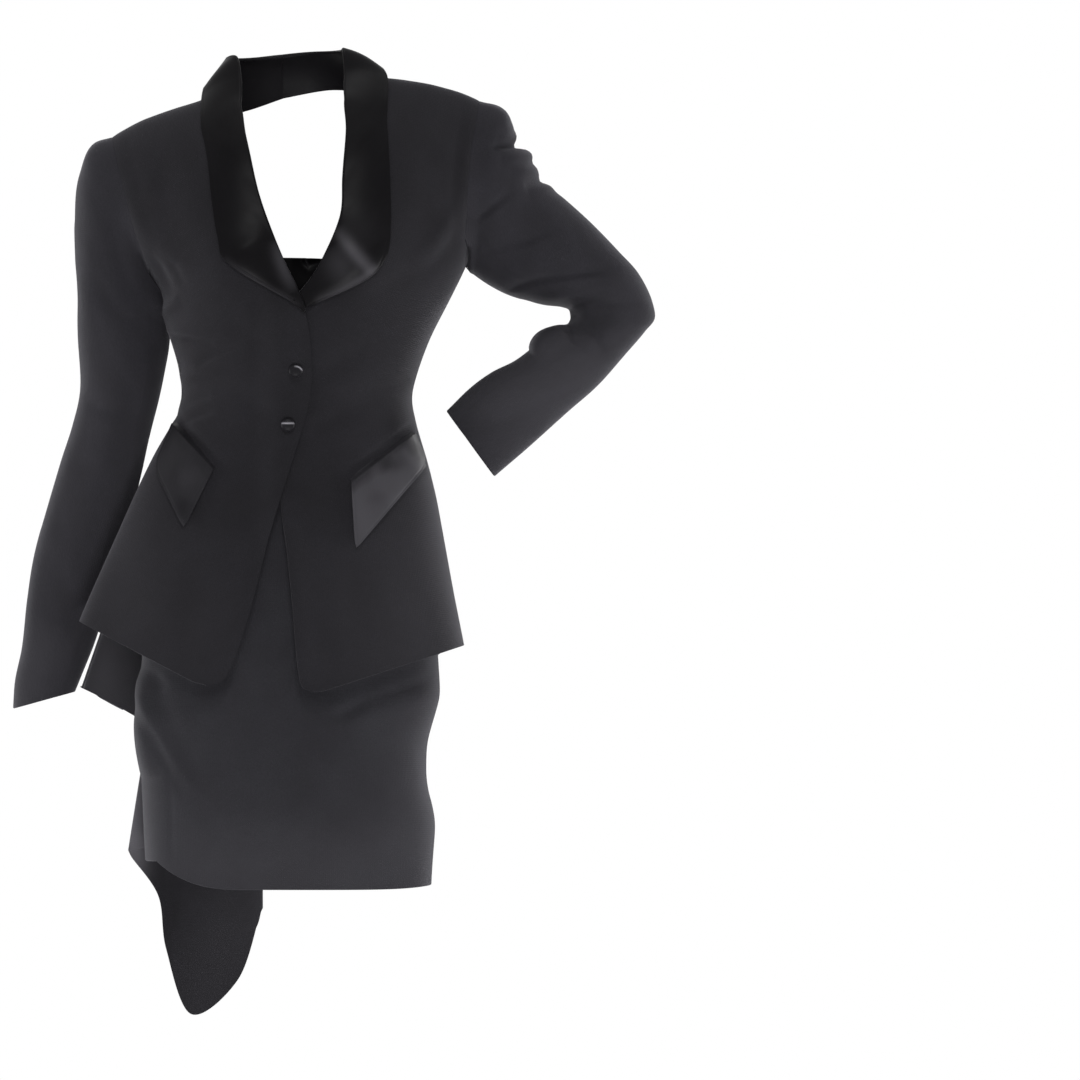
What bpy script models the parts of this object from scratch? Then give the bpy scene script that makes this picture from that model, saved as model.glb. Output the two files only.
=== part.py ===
"""Skirt suit: a fitted black jacket with satin collar, flaps, back drape and bow, and a slim skirt.

The suit keeps the hollow form it has when worn. Metres, +Z up. The front faces -Y, and +X is the
wearer's left. The origin is at the base of the neck, where the wearer holds the suit up.

Every panel is a closed wall of cloth. Its outer face lies on the figure's form, which is given by
short tables of sizes by height, and its inner face is one cloth thickness further in.
"""

import math

import bpy
import bmesh
import numpy as np

# ---------------------------------------------------------------- driving sizes
WOOL = 0.0020
TRAIN_WOOL = 0.0015
SATIN = 0.0016

# Pieces that are sewn together stand this far apart at the seam, half on each side.
SEAM_GAP = 0.0003

# The form: the exponents that round it off, and the height over which the shoulder rounds over.
ROUNDNESS = 2.4
SHOULDER_ROUNDNESS = 2.2
SHOULDER_DROP = 0.13
SHOULDER_Y = 0.006

# The form is at least this many times as wide as a panel that lies on it.
LEAST_WIDTH = 1.0001

# Where the right front lies over the left one: its rise, the x where it starts and its width, then
# the heights where it starts and ends, each with the height that it takes.
LAP = 0.0045
LAP_START = (-0.045, 0.030)
LAP_TOP = (-0.195, 0.03)
LAP_END = (-0.56, 0.10)

COLLAR_LIFT = 0.0045
COLLAR_SWELL = 0.0035
NECK_SWELL = (0.002, 0.004, 0.008)
FLAP_LIFT = 0.0030
FLAP_REACH = 0.97
BUTTON_RADIUS = 0.0075
BUTTON_HEIGHT = 0.0045
BUTTON_SEAT = 0.0020
BUTTON_STEPS = 12
WALL_SHARP_DEGREES = 40
BUTTON_SHARP_DEGREES = 50
MERGE_DISTANCE = 0.00005
# A button's section from the middle of its back to the top of its dome: share of radius, of height.
BUTTON_PROFILE = [(0.0, 0.0), (0.86, 0.0), (1.0, 0.22), (0.94, 0.52), (0.70, 0.80), (0.36, 0.95), (0.0, 1.0)]
# Middle of each button: x, z.
BUTTONS = [(0.002, -0.301), (-0.0067, -0.361)]

# Points across a body panel, and round a sleeve from its outer edge by the front. A sleeve's two
# seams lie on the points named, and its head takes up the armhole's shape over some of its rows.
BODY_ROWS = [0.0, 0.35, *range(1, 17)]
BODY_COLUMNS = 10
SLEEVE_POINTS = 14
SLEEVE_SEAMS = (5, 10)
SLEEVE_HEAD_ROWS = 4
SLEEVE_CLEARANCE = 0.0012
COLLAR_COLUMNS = 5
LAPEL_SAMPLES = 61
NECK_ROWS = 9

WEARER_RIGHT = -1
WEARER_LEFT = 1

# ---------------------------------------------------------------- the figure's form
# Depth of the form on its centre line: height, front y, back y.
DEPTH = [
    (0.06, -0.045, 0.055),
    (0.00, -0.066, 0.078),
    (-0.05, -0.088, 0.098),
    (-0.10, -0.105, 0.106),
    (-0.15, -0.118, 0.108),
    (-0.19, -0.124, 0.106),
    (-0.234, -0.122, 0.100),
    (-0.29, -0.110, 0.091),
    (-0.33, -0.0985, 0.088),
    (-0.37, -0.099, 0.093),
    (-0.41, -0.105, 0.105),
    (-0.48, -0.113, 0.124),
    (-0.56, -0.119, 0.137),
    (-0.66, -0.125, 0.143),
    (-0.80, -0.128, 0.146),
]

# Half width of the form and the y of its side: height, front width, front side y, back width, back side y.
RIGHT_SIDE = [
    (0.06, 0.245, 0.006, 0.250, 0.006),
    (-0.04, 0.235, 0.006, 0.240, 0.006),
    (-0.10, 0.210, 0.006, 0.216, 0.006),
    (-0.15, 0.190, 0.007, 0.196, 0.007),
    (-0.19, 0.168, 0.008, 0.171, 0.008),
    (-0.214, 0.151, 0.010, 0.151, 0.010),
    (-0.255, 0.142, 0.012, 0.142, 0.012),
    (-0.292, 0.130, 0.012, 0.130, 0.012),
    (-0.325, 0.1245, 0.012, 0.1245, 0.012),
    (-0.350, 0.131, 0.011, 0.129, 0.013),
    (-0.390, 0.155, -0.004, 0.147, 0.026),
    (-0.430, 0.174, -0.026, 0.165, 0.054),
    (-0.480, 0.196, -0.042, 0.184, 0.075),
    (-0.543, 0.224, -0.050, 0.202, 0.081),
    (-0.580, 0.240, -0.052, 0.214, 0.083),
    (-0.655, 0.262, -0.054, 0.240, 0.085),
    (-0.80, 0.300, -0.054, 0.290, 0.085),
]
LEFT_SIDE = [
    (0.06, 0.250, 0.006, 0.255, 0.006),
    (0.00, 0.240, 0.006, 0.245, 0.006),
    (-0.05, 0.225, 0.006, 0.230, 0.006),
    (-0.10, 0.211, 0.006, 0.215, 0.006),
    (-0.15, 0.200, 0.008, 0.202, 0.008),
    (-0.185, 0.190, 0.010, 0.190, 0.010),
    (-0.225, 0.170, 0.012, 0.170, 0.012),
    (-0.262, 0.1505, 0.012, 0.1505, 0.012),
    (-0.295, 0.138, 0.012, 0.138, 0.012),
    (-0.330, 0.128, 0.012, 0.128, 0.012),
    (-0.365, 0.136, 0.011, 0.136, 0.013),
    (-0.400, 0.147, 0.008, 0.146, 0.016),
    (-0.440, 0.157, 0.003, 0.152, 0.022),
    (-0.490, 0.166, 0.000, 0.156, 0.026),
    (-0.540, 0.175, -0.003, 0.160, 0.028),
    (-0.605, 0.188, -0.006, 0.162, 0.030),
    (-0.66, 0.198, -0.006, 0.166, 0.032),
    (-0.80, 0.215, -0.006, 0.172, 0.032),
]

# Height of the shoulder seam by distance from the centre line.
RIGHT_SHOULDER = [(0.06, 0.024), (0.085, 0.011), (0.102, 0.001), (0.133, -0.0085), (0.172, -0.0225),
                  (0.200, -0.038), (0.22, -0.055)]
LEFT_SHOULDER = [(0.06, 0.032), (0.080, 0.028), (0.092, 0.026), (0.117, 0.0235), (0.150, 0.018),
                 (0.183, 0.009), (0.205, 0.000), (0.2276, -0.017)]

# Fullness over the chest: distance from centre, height, how far it stands out, width, height of the rise.
BUST = (0.083, -0.188, 0.017, 0.050, 0.060)

# ---------------------------------------------------------------- panel edges
# One row for each stretch of a panel: inner distance and height, outer distance and height.
# Distances are measured from the centre line toward the panel's own side.
RIGHT_FRONT_ROWS = [
    (0.085, 0.011, 0.203, -0.040),
    (0.072, 0.004, 0.200, -0.056),
    (0.0600, -0.012, 0.192, -0.090),
    (0.0548, -0.045, 0.183, -0.122),
    (0.0445, -0.090, 0.173, -0.155),
    (0.0312, -0.135, 0.162, -0.188),
    (0.0122, -0.180, 0.151, -0.214),
    (-0.012, -0.234, 0.142, -0.255),
    (-0.020, -0.290, 0.130, -0.292),
    (-0.018, -0.330, 0.1245, -0.325),
    (-0.008, -0.370, 0.136, -0.360),
    (0.0045, -0.410, 0.158, -0.397),
    (0.0255, -0.477, 0.187, -0.460),
    (0.0366, -0.522, 0.207, -0.503),
    (0.052, -0.580, 0.226, -0.545),
    (0.074, -0.638, 0.238, -0.572),
    (0.098, -0.652, 0.240, -0.578),
]
LEFT_FRONT_ROWS = [
    (0.080, 0.028, 0.205, 0.000),
    (0.066, 0.018, 0.202, -0.018),
    (0.0572, -0.002, 0.197, -0.050),
    (0.0585, -0.037, 0.193, -0.085),
    (0.0555, -0.089, 0.191, -0.120),
    (0.052, -0.135, 0.189, -0.155),
    (0.030, -0.186, 0.190, -0.185),
    (-0.006, -0.236, 0.170, -0.225),
    (-0.010, -0.290, 0.139, -0.293),
    (-0.010, -0.330, 0.128, -0.330),
    (-0.010, -0.370, 0.136, -0.365),
    (-0.013, -0.410, 0.147, -0.400),
    (-0.0144, -0.450, 0.157, -0.440),
    (-0.0078, -0.500, 0.166, -0.490),
    (-0.0022, -0.555, 0.175, -0.540),
    (0.006, -0.640, 0.1865, -0.597),
    (0.018, -0.660, 0.188, -0.605),
]
LEFT_BACK_ROWS = [
    (0.080, 0.028, 0.205, 0.000),
    (0.088, 0.018, 0.204, -0.018),
    (0.090, -0.004, 0.201, -0.050),
    (0.0845, -0.0525, 0.198, -0.085),
    (0.075, -0.105, 0.195, -0.120),
    (0.060, -0.145, 0.191, -0.155),
    (0.048, -0.172, 0.190, -0.185),
    (0.0436, -0.219, 0.170, -0.225),
    (0.028, -0.285, 0.139, -0.293),
    (0.030, -0.325, 0.128, -0.330),
    (0.026, -0.370, 0.136, -0.365),
    (0.010, -0.420, 0.146, -0.400),
    (-0.020, -0.470, 0.152, -0.440),
    (-0.050, -0.540, 0.156, -0.490),
    (-0.064, -0.620, 0.160, -0.540),
    (-0.070, -0.760, 0.162, -0.604),
    (-0.070, -0.772, 0.1622, -0.612),
]
RIGHT_BACK_ROWS = [
    (0.085, 0.011, 0.203, -0.040),
    (0.092, 0.000, 0.202, -0.056),
    (0.098, -0.025, 0.197, -0.090),
    (0.101, -0.070, 0.189, -0.122),
    (0.098, -0.106, 0.178, -0.155),
    (0.088, -0.132, 0.164, -0.188),
    (0.060, -0.168, 0.151, -0.214),
    (0.078, -0.215, 0.142, -0.255),
    (0.084, -0.270, 0.130, -0.292),
    (0.080, -0.325, 0.1245, -0.325),
    (0.082, -0.370, 0.1315, -0.355),
    (0.088, -0.420, 0.145, -0.385),
    (0.100, -0.475, 0.165, -0.430),
    (0.118, -0.540, 0.184, -0.480),
    (0.138, -0.620, 0.203, -0.545),
    (0.165, -0.680, 0.2375, -0.643),
    (0.178, -0.686, 0.2395, -0.651),
]

# A panel's first rows that lie along the armhole, and those that take up the shoulder seam's curve.
ARMHOLE_ROWS = 7
SHOULDER_ROWS = 3

# Where the collar lies on a front, as shares of the front's own rows: row number, share at the collar's
# roll edge, share at its outer edge.
RIGHT_LAPEL = [(2.0, 0.0, 0.320), (3.0, 0.0, 0.316), (4.0, 0.0, 0.358), (5.0, 0.0, 0.397), (5.6, 0.0, 0.412),
               (6.0, 0.0, 0.346), (6.5, 0.0, 0.185), (6.9, 0.0, 0.045), (7.02, 0.0, 0.012)]
LEFT_LAPEL = [(2.0, 0.0, 0.326), (3.0, 0.0, 0.340), (4.0, 0.0, 0.376), (5.0, 0.0, 0.395), (5.85, 0.0, 0.418),
              (6.1, 0.0, 0.412), (6.35, 0.0, 0.375), (6.6, 0.0, 0.284), (6.8, 0.075, 0.181),
              (6.92, 0.095, 0.127)]

# Collar round the neck, from the shoulder to the centre back:
# roll edge x, y, z, then outer edge x, y, z.
RIGHT_NECK = [
    (-0.0612, -0.036, 0.008, -0.1045, -0.039, -0.0165),
    (-0.0625, -0.020, 0.026, -0.104, -0.010, 0.004),
    (-0.0670, 0.000, 0.049, -0.102, 0.010, 0.014),
    (-0.0770, 0.020, 0.048, -0.104, 0.033, -0.004),
    (-0.0680, 0.040, 0.047, -0.092, 0.060, -0.018),
    (-0.0450, 0.053, 0.048, -0.055, 0.077, -0.010),
    (-0.0152, 0.058, 0.051, -0.0142, 0.083, 0.004),
]
LEFT_NECK = [
    (0.0568, -0.035, 0.016, 0.1035, -0.0365, 0.0045),
    (0.0570, -0.020, 0.032, 0.103, -0.010, 0.026),
    (0.0550, 0.000, 0.058, 0.096, 0.010, 0.037),
    (0.0520, 0.020, 0.057, 0.095, 0.033, 0.028),
    (0.0420, 0.040, 0.056, 0.078, 0.060, 0.014),
    (0.0180, 0.053, 0.055, 0.036, 0.077, 0.013),
    (-0.0147, 0.058, 0.051, -0.0137, 0.083, 0.004),
]

# Pocket flaps: distance from centre and height of each corner.
# Order: top outer, top inner, bottom inner, bottom outer.
RIGHT_FLAP = [(0.131, -0.356), (0.0855, -0.405), (0.121, -0.477), (0.154, -0.408)]
LEFT_FLAP = [(0.129, -0.367), (0.062, -0.4185), (0.067, -0.500), (0.1445, -0.406)]

# Sleeves: outer edge x, z, inner edge x, z, middle y, half depth.
RIGHT_SLEEVE = [
    (-0.221, -0.046, -0.1535, -0.222, 0.008, 0.062),
    (-0.239, -0.082, -0.1535, -0.237, 0.010, 0.060),
    (-0.245, -0.140, -0.1505, -0.253, 0.012, 0.056),
    (-0.244, -0.200, -0.1475, -0.273, 0.015, 0.053),
    (-0.242, -0.260, -0.1475, -0.300, 0.018, 0.050),
    (-0.239, -0.322, -0.1530, -0.334, 0.022, 0.047),
    (-0.247, -0.360, -0.1610, -0.370, 0.025, 0.045),
    (-0.261, -0.402, -0.1700, -0.412, 0.026, 0.044),
    (-0.277, -0.455, -0.1820, -0.460, 0.024, 0.043),
    (-0.290, -0.505, -0.1950, -0.508, 0.020, 0.041),
    (-0.2975, -0.555, -0.2080, -0.555, 0.015, 0.039),
    (-0.304, -0.610, -0.2230, -0.604, 0.010, 0.037),
    (-0.3115, -0.645, -0.2350, -0.633, 0.005, 0.035),
    (-0.3135, -0.675, -0.2450, -0.657, 0.002, 0.034),
]
LEFT_SLEEVE = [
    (0.225, -0.010, 0.1935, -0.189, 0.006, 0.060),
    (0.242, -0.031, 0.1990, -0.193, 0.010, 0.059),
    (0.256, -0.057, 0.2070, -0.199, 0.015, 0.057),
    (0.272, -0.087, 0.2190, -0.207, 0.022, 0.055),
    (0.301, -0.111, 0.2360, -0.216, 0.030, 0.053),
    (0.331, -0.137, 0.2570, -0.223, 0.040, 0.051),
    (0.360, -0.166, 0.2780, -0.2275, 0.050, 0.050),
    (0.3835, -0.193, 0.2960, -0.2290, 0.057, 0.049),
    (0.397, -0.222, 0.3055, -0.2330, 0.060, 0.048),
    (0.400, -0.241, 0.3065, -0.2410, 0.058, 0.048),
    (0.389, -0.256, 0.3020, -0.2485, 0.052, 0.047),
    (0.364, -0.284, 0.2870, -0.2560, 0.042, 0.046),
    (0.334, -0.318, 0.2680, -0.2700, 0.028, 0.045),
    (0.303, -0.346, 0.2440, -0.2890, 0.012, 0.043),
    (0.271, -0.374, 0.2170, -0.3030, -0.006, 0.041),
    (0.242, -0.400, 0.1910, -0.3220, -0.024, 0.039),
    (0.222, -0.418, 0.1680, -0.3450, -0.036, 0.038),
]

# Skirt: height, right edge x, left edge x, front y, back y.
SKIRT = [
    (-0.347, -0.1140, 0.1180, -0.087, 0.077),
    (-0.37, -0.1180, 0.1240, -0.088, 0.081),
    (-0.42, -0.1340, 0.1380, -0.095, 0.096),
    (-0.48, -0.1480, 0.1490, -0.102, 0.111),
    (-0.54, -0.1580, 0.1540, -0.106, 0.119),
    (-0.60, -0.1640, 0.1580, -0.108, 0.120),
    (-0.66, -0.1690, 0.1620, -0.109, 0.117),
    (-0.715, -0.1720, 0.1460, -0.109, 0.113),
    (-0.765, -0.1710, 0.1480, -0.108, 0.110),
    (-0.80, -0.1690, 0.1560, -0.107, 0.108),
    (-0.84, -0.1660, 0.1530, -0.105, 0.106),
    (-0.875, -0.1640, 0.1510, -0.104, 0.104),
]
SKIRT_TOP = -0.347
SKIRT_MIDDLE_Y = 0.004
SKIRT_ROWS = 9
# Turns of the skirt's seams in degrees from the centre front: right side, left side, back.
SKIRT_SEAMS = (-97.0, 97.0, 160.0)
SEAM_INSET = 0.12
# The hem rises toward the wearer's right, from this share of the way out.
HEM_RISE = 0.030
HEM_START = 0.35
BAND_TOP = -0.318
BAND_WALL = 0.0025
BAND_POINTS = 28

# The back is carried on straight beyond these x, at this slope, for what lies on it.
BACK_LIMITS = (-0.105, 0.085)
BACK_SLOPE = 0.45

# Satin drape over the small of the back: left edge x, z, right edge x, z, lift off the form at each edge.
DRAPE_ROWS = [
    (0.0465, -0.174, -0.098, -0.172, 0.0000, 0.0055),
    (0.0420, -0.216, -0.109, -0.205, 0.0000, 0.0055),
    (0.0320, -0.254, -0.111, -0.240, 0.0000, 0.0055),
    (0.0265, -0.283, -0.105, -0.272, 0.0002, 0.0055),
    (0.0330, -0.304, -0.099, -0.305, 0.0050, 0.0055),
    (0.0530, -0.324, -0.098, -0.330, 0.0060, 0.0060),
    (0.0780, -0.345, -0.100, -0.360, 0.0060, 0.0060),
    (0.0560, -0.385, -0.102, -0.400, 0.0060, 0.0060),
    (0.0350, -0.440, -0.104, -0.450, 0.0060, 0.0060),
]
DRAPE_GRID = (13, 12)
# Shares of the drape's width: where its lift is whole, and where its folds are whole at the edges.
DRAPE_LIFT_SHARE = 0.35
DRAPE_EDGE_SHARE = 0.12
# A fold dies away over this share of its length at each end.
FOLD_FADE = 0.25
# Folds of the drape: start x, z, end x, z, height, half width.
DRAPE_FOLDS = [
    (0.030, -0.180, -0.055, -0.290, 0.009, 0.008),
    (0.030, -0.190, 0.008, -0.275, 0.006, 0.006),
    (0.008, -0.275, 0.045, -0.325, 0.006, 0.010),
    (-0.040, -0.205, -0.090, -0.185, 0.007, 0.009),
    (-0.002, -0.230, -0.050, -0.310, 0.005, 0.009),
]

# Bow loops: one end x, z, other end x, z, then lift off the form and half depth.
UPPER_LOOP = [
    (0.008, -0.460, -0.006, -0.452, 0.034, 0.004),
    (0.026, -0.440, -0.018, -0.432, 0.034, 0.008),
    (0.046, -0.413, -0.040, -0.405, 0.033, 0.012),
    (0.066, -0.388, -0.062, -0.378, 0.032, 0.014),
    (0.083, -0.366, -0.083, -0.350, 0.031, 0.013),
]
LOWER_LOOP = [
    (-0.024, -0.441, -0.109, -0.340, 0.028, 0.006),
    (-0.026, -0.450, -0.128, -0.362, 0.032, 0.010),
    (-0.030, -0.457, -0.146, -0.389, 0.034, 0.012),
    (-0.038, -0.463, -0.136, -0.422, 0.035, 0.010),
    (-0.052, -0.468, -0.110, -0.450, 0.036, 0.006),
]
LOOP_LIP = 0.012
LOOP_GRID = (7, 14)
# How closely a loop follows the round of the back across its width.
LOOP_FOLLOW = 0.7

# Train, a sheet folded to and fro below the bow, in the order of the cloth:
# top x, hem x, hem z, lift off the form at the top, lift at the hem.
TRAIN_FOLDS = [
    (-0.060, -0.080, -0.800, 0.0050, 0.007),
    (-0.100, -0.130, -0.822, 0.0050, 0.008),
    (-0.114, -0.180, -0.834, 0.0058, 0.011),
    (-0.115, -0.186, -0.840, 0.0078, 0.015),
    (-0.108, -0.155, -0.885, 0.0083, 0.0165),
    (-0.098, -0.146, -0.945, 0.0088, 0.018),
    (-0.075, -0.118, -1.018, 0.0090, 0.019),
    (-0.050, -0.066, -0.980, 0.0096, 0.020),
    (-0.042, -0.042, -0.908, 0.0130, 0.026),
    (-0.042, -0.041, -0.904, 0.0170, 0.034),
    (-0.052, -0.052, -0.926, 0.0200, 0.040),
    (-0.075, -0.095, -0.898, 0.0210, 0.042),
    (-0.101, -0.128, -0.874, 0.0202, 0.040),
    (-0.103, -0.131, -0.866, 0.0182, 0.036),
    (-0.093, -0.121, -0.845, 0.0165, 0.032),
    (-0.091, -0.119, -0.830, 0.0145, 0.028),
    (-0.099, -0.131, -0.800, 0.0127, 0.0245),
    (-0.110, -0.154, -0.812, 0.0124, 0.0240),
    (-0.118, -0.174, -0.824, 0.0122, 0.0235),
]
TRAIN_TOP = -0.458
TRAIN_ROWS = 6
# The train spreads early and stands off the form at this multiple of the way down.
TRAIN_SPREAD = 0.8
TRAIN_RISE = 1.6


# ---------------------------------------------------------------- helpers
def clear_scene():
    """Remove every object of the start-up scene."""
    for item in list(bpy.data.objects):
        bpy.data.objects.remove(item, do_unlink=True)


def material(name, colour, roughness, metallic=0.0):
    """A Principled material of one colour."""
    result = bpy.data.materials.new(name)
    result.use_nodes = True
    shader = result.node_tree.nodes["Principled BSDF"]
    shader.inputs["Base Color"].default_value = (*colour, 1.0)
    shader.inputs["Roughness"].default_value = roughness
    shader.inputs["Metallic"].default_value = metallic
    return result


def smooth(table, at):
    """Read every column of a table at the row numbers in at, by a smooth curve through the rows."""
    rows = np.array(table, dtype=float)
    at = np.clip(np.asarray(at, dtype=float), 0.0, len(rows) - 1.0)
    slope = np.gradient(rows, axis=0)
    low = np.minimum(at.astype(int), len(rows) - 2)
    t = (at - low)[:, None]
    start, end = rows[low], rows[low + 1]
    lift, drop = slope[low], slope[low + 1]
    ease = t * t * (3 - 2 * t)
    return start + (end - start) * ease + lift * (t * (1 - t) ** 2) - drop * (t * t * (1 - t))


def by_height(table, column, z):
    """A table's column at the heights z, straight between rows. The first column is the height."""
    heights = [row[0] for row in table][::-1]
    values = [row[column] for row in table][::-1]
    return np.interp(z, heights, values)


def side_tables(side):
    """The form's side table and shoulder line on one side."""
    if side == WEARER_RIGHT:
        return RIGHT_SIDE, RIGHT_SHOULDER
    return LEFT_SIDE, LEFT_SHOULDER


def half_width(side, z, back):
    """Half width of the form at the heights z."""
    return by_height(side_tables(side)[0], 3 if back else 1, z)


def form_y(x, z, back):
    """The y of the form at x and z: y = side + (depth - side) * across * down.

    across = (1 - (x / half width)^n)^(1/n) rounds the form toward its sides, and down rounds it
    over toward the shoulder seam in the same way.
    """
    x, z = np.broadcast_arrays(np.asarray(x, dtype=float), np.asarray(z, dtype=float))
    depth = by_height(DEPTH, 2 if back else 1, z)
    result = np.zeros(x.shape)
    for side in (WEARER_RIGHT, WEARER_LEFT):
        sides, shoulder = side_tables(side)
        width = by_height(sides, 3 if back else 1, z)
        side_y = by_height(sides, 4 if back else 2, z)
        seam = np.interp(np.abs(x), [row[0] for row in shoulder], [row[1] for row in shoulder])
        across = np.clip(1 - np.minimum(np.abs(x) / width, 1) ** ROUNDNESS, 0, 1) ** (1 / ROUNDNESS)
        below = np.clip((seam - z) / SHOULDER_DROP, 0, 1)
        down = np.clip(1 - (1 - below) ** SHOULDER_ROUNDNESS, 0, 1) ** (1 / SHOULDER_ROUNDNESS)
        y = side_y + (depth - side_y) * across * down
        if not back:
            reach, height, rise, wide, tall = BUST
            near = np.exp(-((np.abs(x) - reach) / wide) ** 2 - ((z - height) / tall) ** 2)
            y = y - rise * near * across
        result = np.where(np.sign(x) == side, y, result)
        result = np.where((x == 0) & (side == WEARER_LEFT), y, result)
    return result


def lap_lift(x, z):
    """How far the right front stands off the left one near the closing."""
    near = np.clip((x - LAP_START[0]) / LAP_START[1], 0, 1)
    below = np.clip((LAP_TOP[0] - z) / LAP_TOP[1], 0, 1)
    above = np.clip((z - LAP_END[0]) / LAP_END[1], 0, 1)
    return LAP * near * near * (3 - 2 * near) * below * above


def row_line(side, rows, back, at, columns):
    """Points of a panel: each row runs from its inner to its outer edge round the form.

    The points are spaced evenly by the angle round the form. The first rows take up the curve of
    the shoulder seam.
    """
    _, shoulder = side_tables(side)
    table = smooth(rows, at)
    u = np.linspace(0, 1, columns)[None, :]
    inner, z_in, outer, z_out = (table[:, k:k + 1] for k in range(4))
    width = np.maximum(half_width(side, (z_in + z_out) / 2, back), outer * LEAST_WIDTH)
    power = ROUNDNESS / 2
    start = np.sign(inner) * np.arcsin((np.abs(inner) / width) ** power)
    end = np.arcsin((outer / width) ** power)
    turn = start + (end - start) * u
    reach = width * np.sign(turn) * np.abs(np.sin(turn)) ** (1 / power)
    share = (reach - inner) / (outer - inner)
    z = z_in + (z_out - z_in) * share
    first = rows[0]
    straight = first[1] + (first[3] - first[1]) * (reach - first[0]) / (first[2] - first[0])
    curve = np.interp(np.abs(reach), [row[0] for row in shoulder], [row[1] for row in shoulder])
    weight = np.clip(1 - np.asarray(at, dtype=float) / SHOULDER_ROWS, 0, 1)[:, None]
    z = z + (curve - straight) * weight
    x = side * reach
    y = form_y(x, z, back)
    outermost = by_height(side_tables(side)[0], 4 if back else 2, z[:, -1])
    edge = np.asarray(at) >= ARMHOLE_ROWS - 1
    y[edge, -1] = outermost[edge]
    y[np.asarray(at) <= 0, :] = SHOULDER_Y
    return np.stack([x, y, z], axis=2)


def normals_of(points, closed=False):
    """Unit normals of a grid of points, from the slopes along and across it."""
    if closed:
        wide = np.concatenate([points[:, -1:], points, points[:, :1]], axis=1)
        across = wide[:, 2:] - wide[:, :-2]
    else:
        across = np.gradient(points, axis=1)
    along = np.gradient(points, axis=0)
    normal = np.cross(across, along)
    return normal / np.maximum(np.linalg.norm(normal, axis=2, keepdims=True), 1e-12)


def facing(points, normals, centre):
    """Turn the normals so that on the whole they point away from centre."""
    outward = np.sum(normals * (points - np.asarray(centre)))
    return normals if outward > 0 else -normals


def finished(name, mesh, skin, sharp_degrees):
    """An object with its mesh smooth-shaded up to an angle and its material on it."""
    mesh.shade_smooth()
    mesh.set_sharp_from_angle(angle=math.radians(sharp_degrees))
    mesh.materials.append(skin)
    result = bpy.data.objects.new(name, mesh)
    bpy.context.collection.objects.link(result)
    return result


def wall(name, points, normals, thickness, skin, closed=False):
    """A closed wall of cloth: the outer grid, the same grid moved in, and the edges between them.

    Every four-sided cell is cut from its first corner to the one across, on both faces and on the
    edges, so that panels which share a seam stay parallel there.
    """
    rows, columns = points.shape[:2]
    size = rows * columns
    steps = columns if closed else columns - 1
    cells = []
    for j in range(steps):
        k = (j + 1) % columns
        last = size - columns
        cells.append((j, size + j, size + k, k))
        cells.append((last + j, last + k, last + size + k, last + size + j))
        for i in range(0, last, columns):
            a, b, c, d = i + j, i + k, i + columns + k, i + columns + j
            cells.append((a, b, c, d))
            cells.append((size + a, size + d, size + c, size + b))
    if not closed:
        for i in range(0, size - columns, columns):
            for a, turned in ((i, False), (i + columns - 1, True)):
                cell = (a, a + columns, size + a + columns, size + a)
                cells.append((cell[0], *cell[:0:-1]) if turned else cell)
    mesh = bpy.data.meshes.new(name)
    vertices = np.concatenate([points.reshape(-1, 3), (points - normals * thickness).reshape(-1, 3)])
    triangles = [triangle for a, b, c, d in cells for triangle in ((a, b, c), (a, c, d))]
    mesh.from_pydata(vertices.tolist(), [], triangles)
    shape = bmesh.new()
    shape.from_mesh(mesh)
    bmesh.ops.recalc_face_normals(shape, faces=shape.faces)
    shape.to_mesh(mesh)
    shape.free()
    return finished(name, mesh, skin, WALL_SHARP_DEGREES)


# ---------------------------------------------------------------- jacket body
def body_panel(name, side, rows, back, skin):
    """A front or back of the jacket, from the shoulder seam to the hem."""
    at = np.array(BODY_ROWS)
    points = row_line(side, rows, back, at, BODY_COLUMNS)
    facing_y = 1.0 if back else -1.0
    if side == WEARER_RIGHT and not back:
        points[:, :, 1] -= lap_lift(points[:, :, 0], points[:, :, 2])
    normals = facing(points, normals_of(points), (0, 0, -0.3))
    normals[0] = (0, 0, 1)
    seam = at >= ARMHOLE_ROWS - 1
    normals[seam, -1] = (side, 0, 0)
    points[0, :, 1] += facing_y * SEAM_GAP / 2
    points[seam, -1, 1] += facing_y * SEAM_GAP / 2
    return wall(name, points, normals, WOOL, skin)


def armhole(side, front_rows, back_rows):
    """The closed line of an armhole: down the front from the shoulder, and up the back."""
    steps = np.linspace(0, ARMHOLE_ROWS - 1, SLEEVE_POINTS // 2 + 1)
    front = row_line(side, front_rows, False, steps, BODY_COLUMNS)[:, -1]
    back = row_line(side, back_rows, True, steps, BODY_COLUMNS)[:, -1]
    return np.concatenate([front, back[-2:0:-1]])


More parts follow.
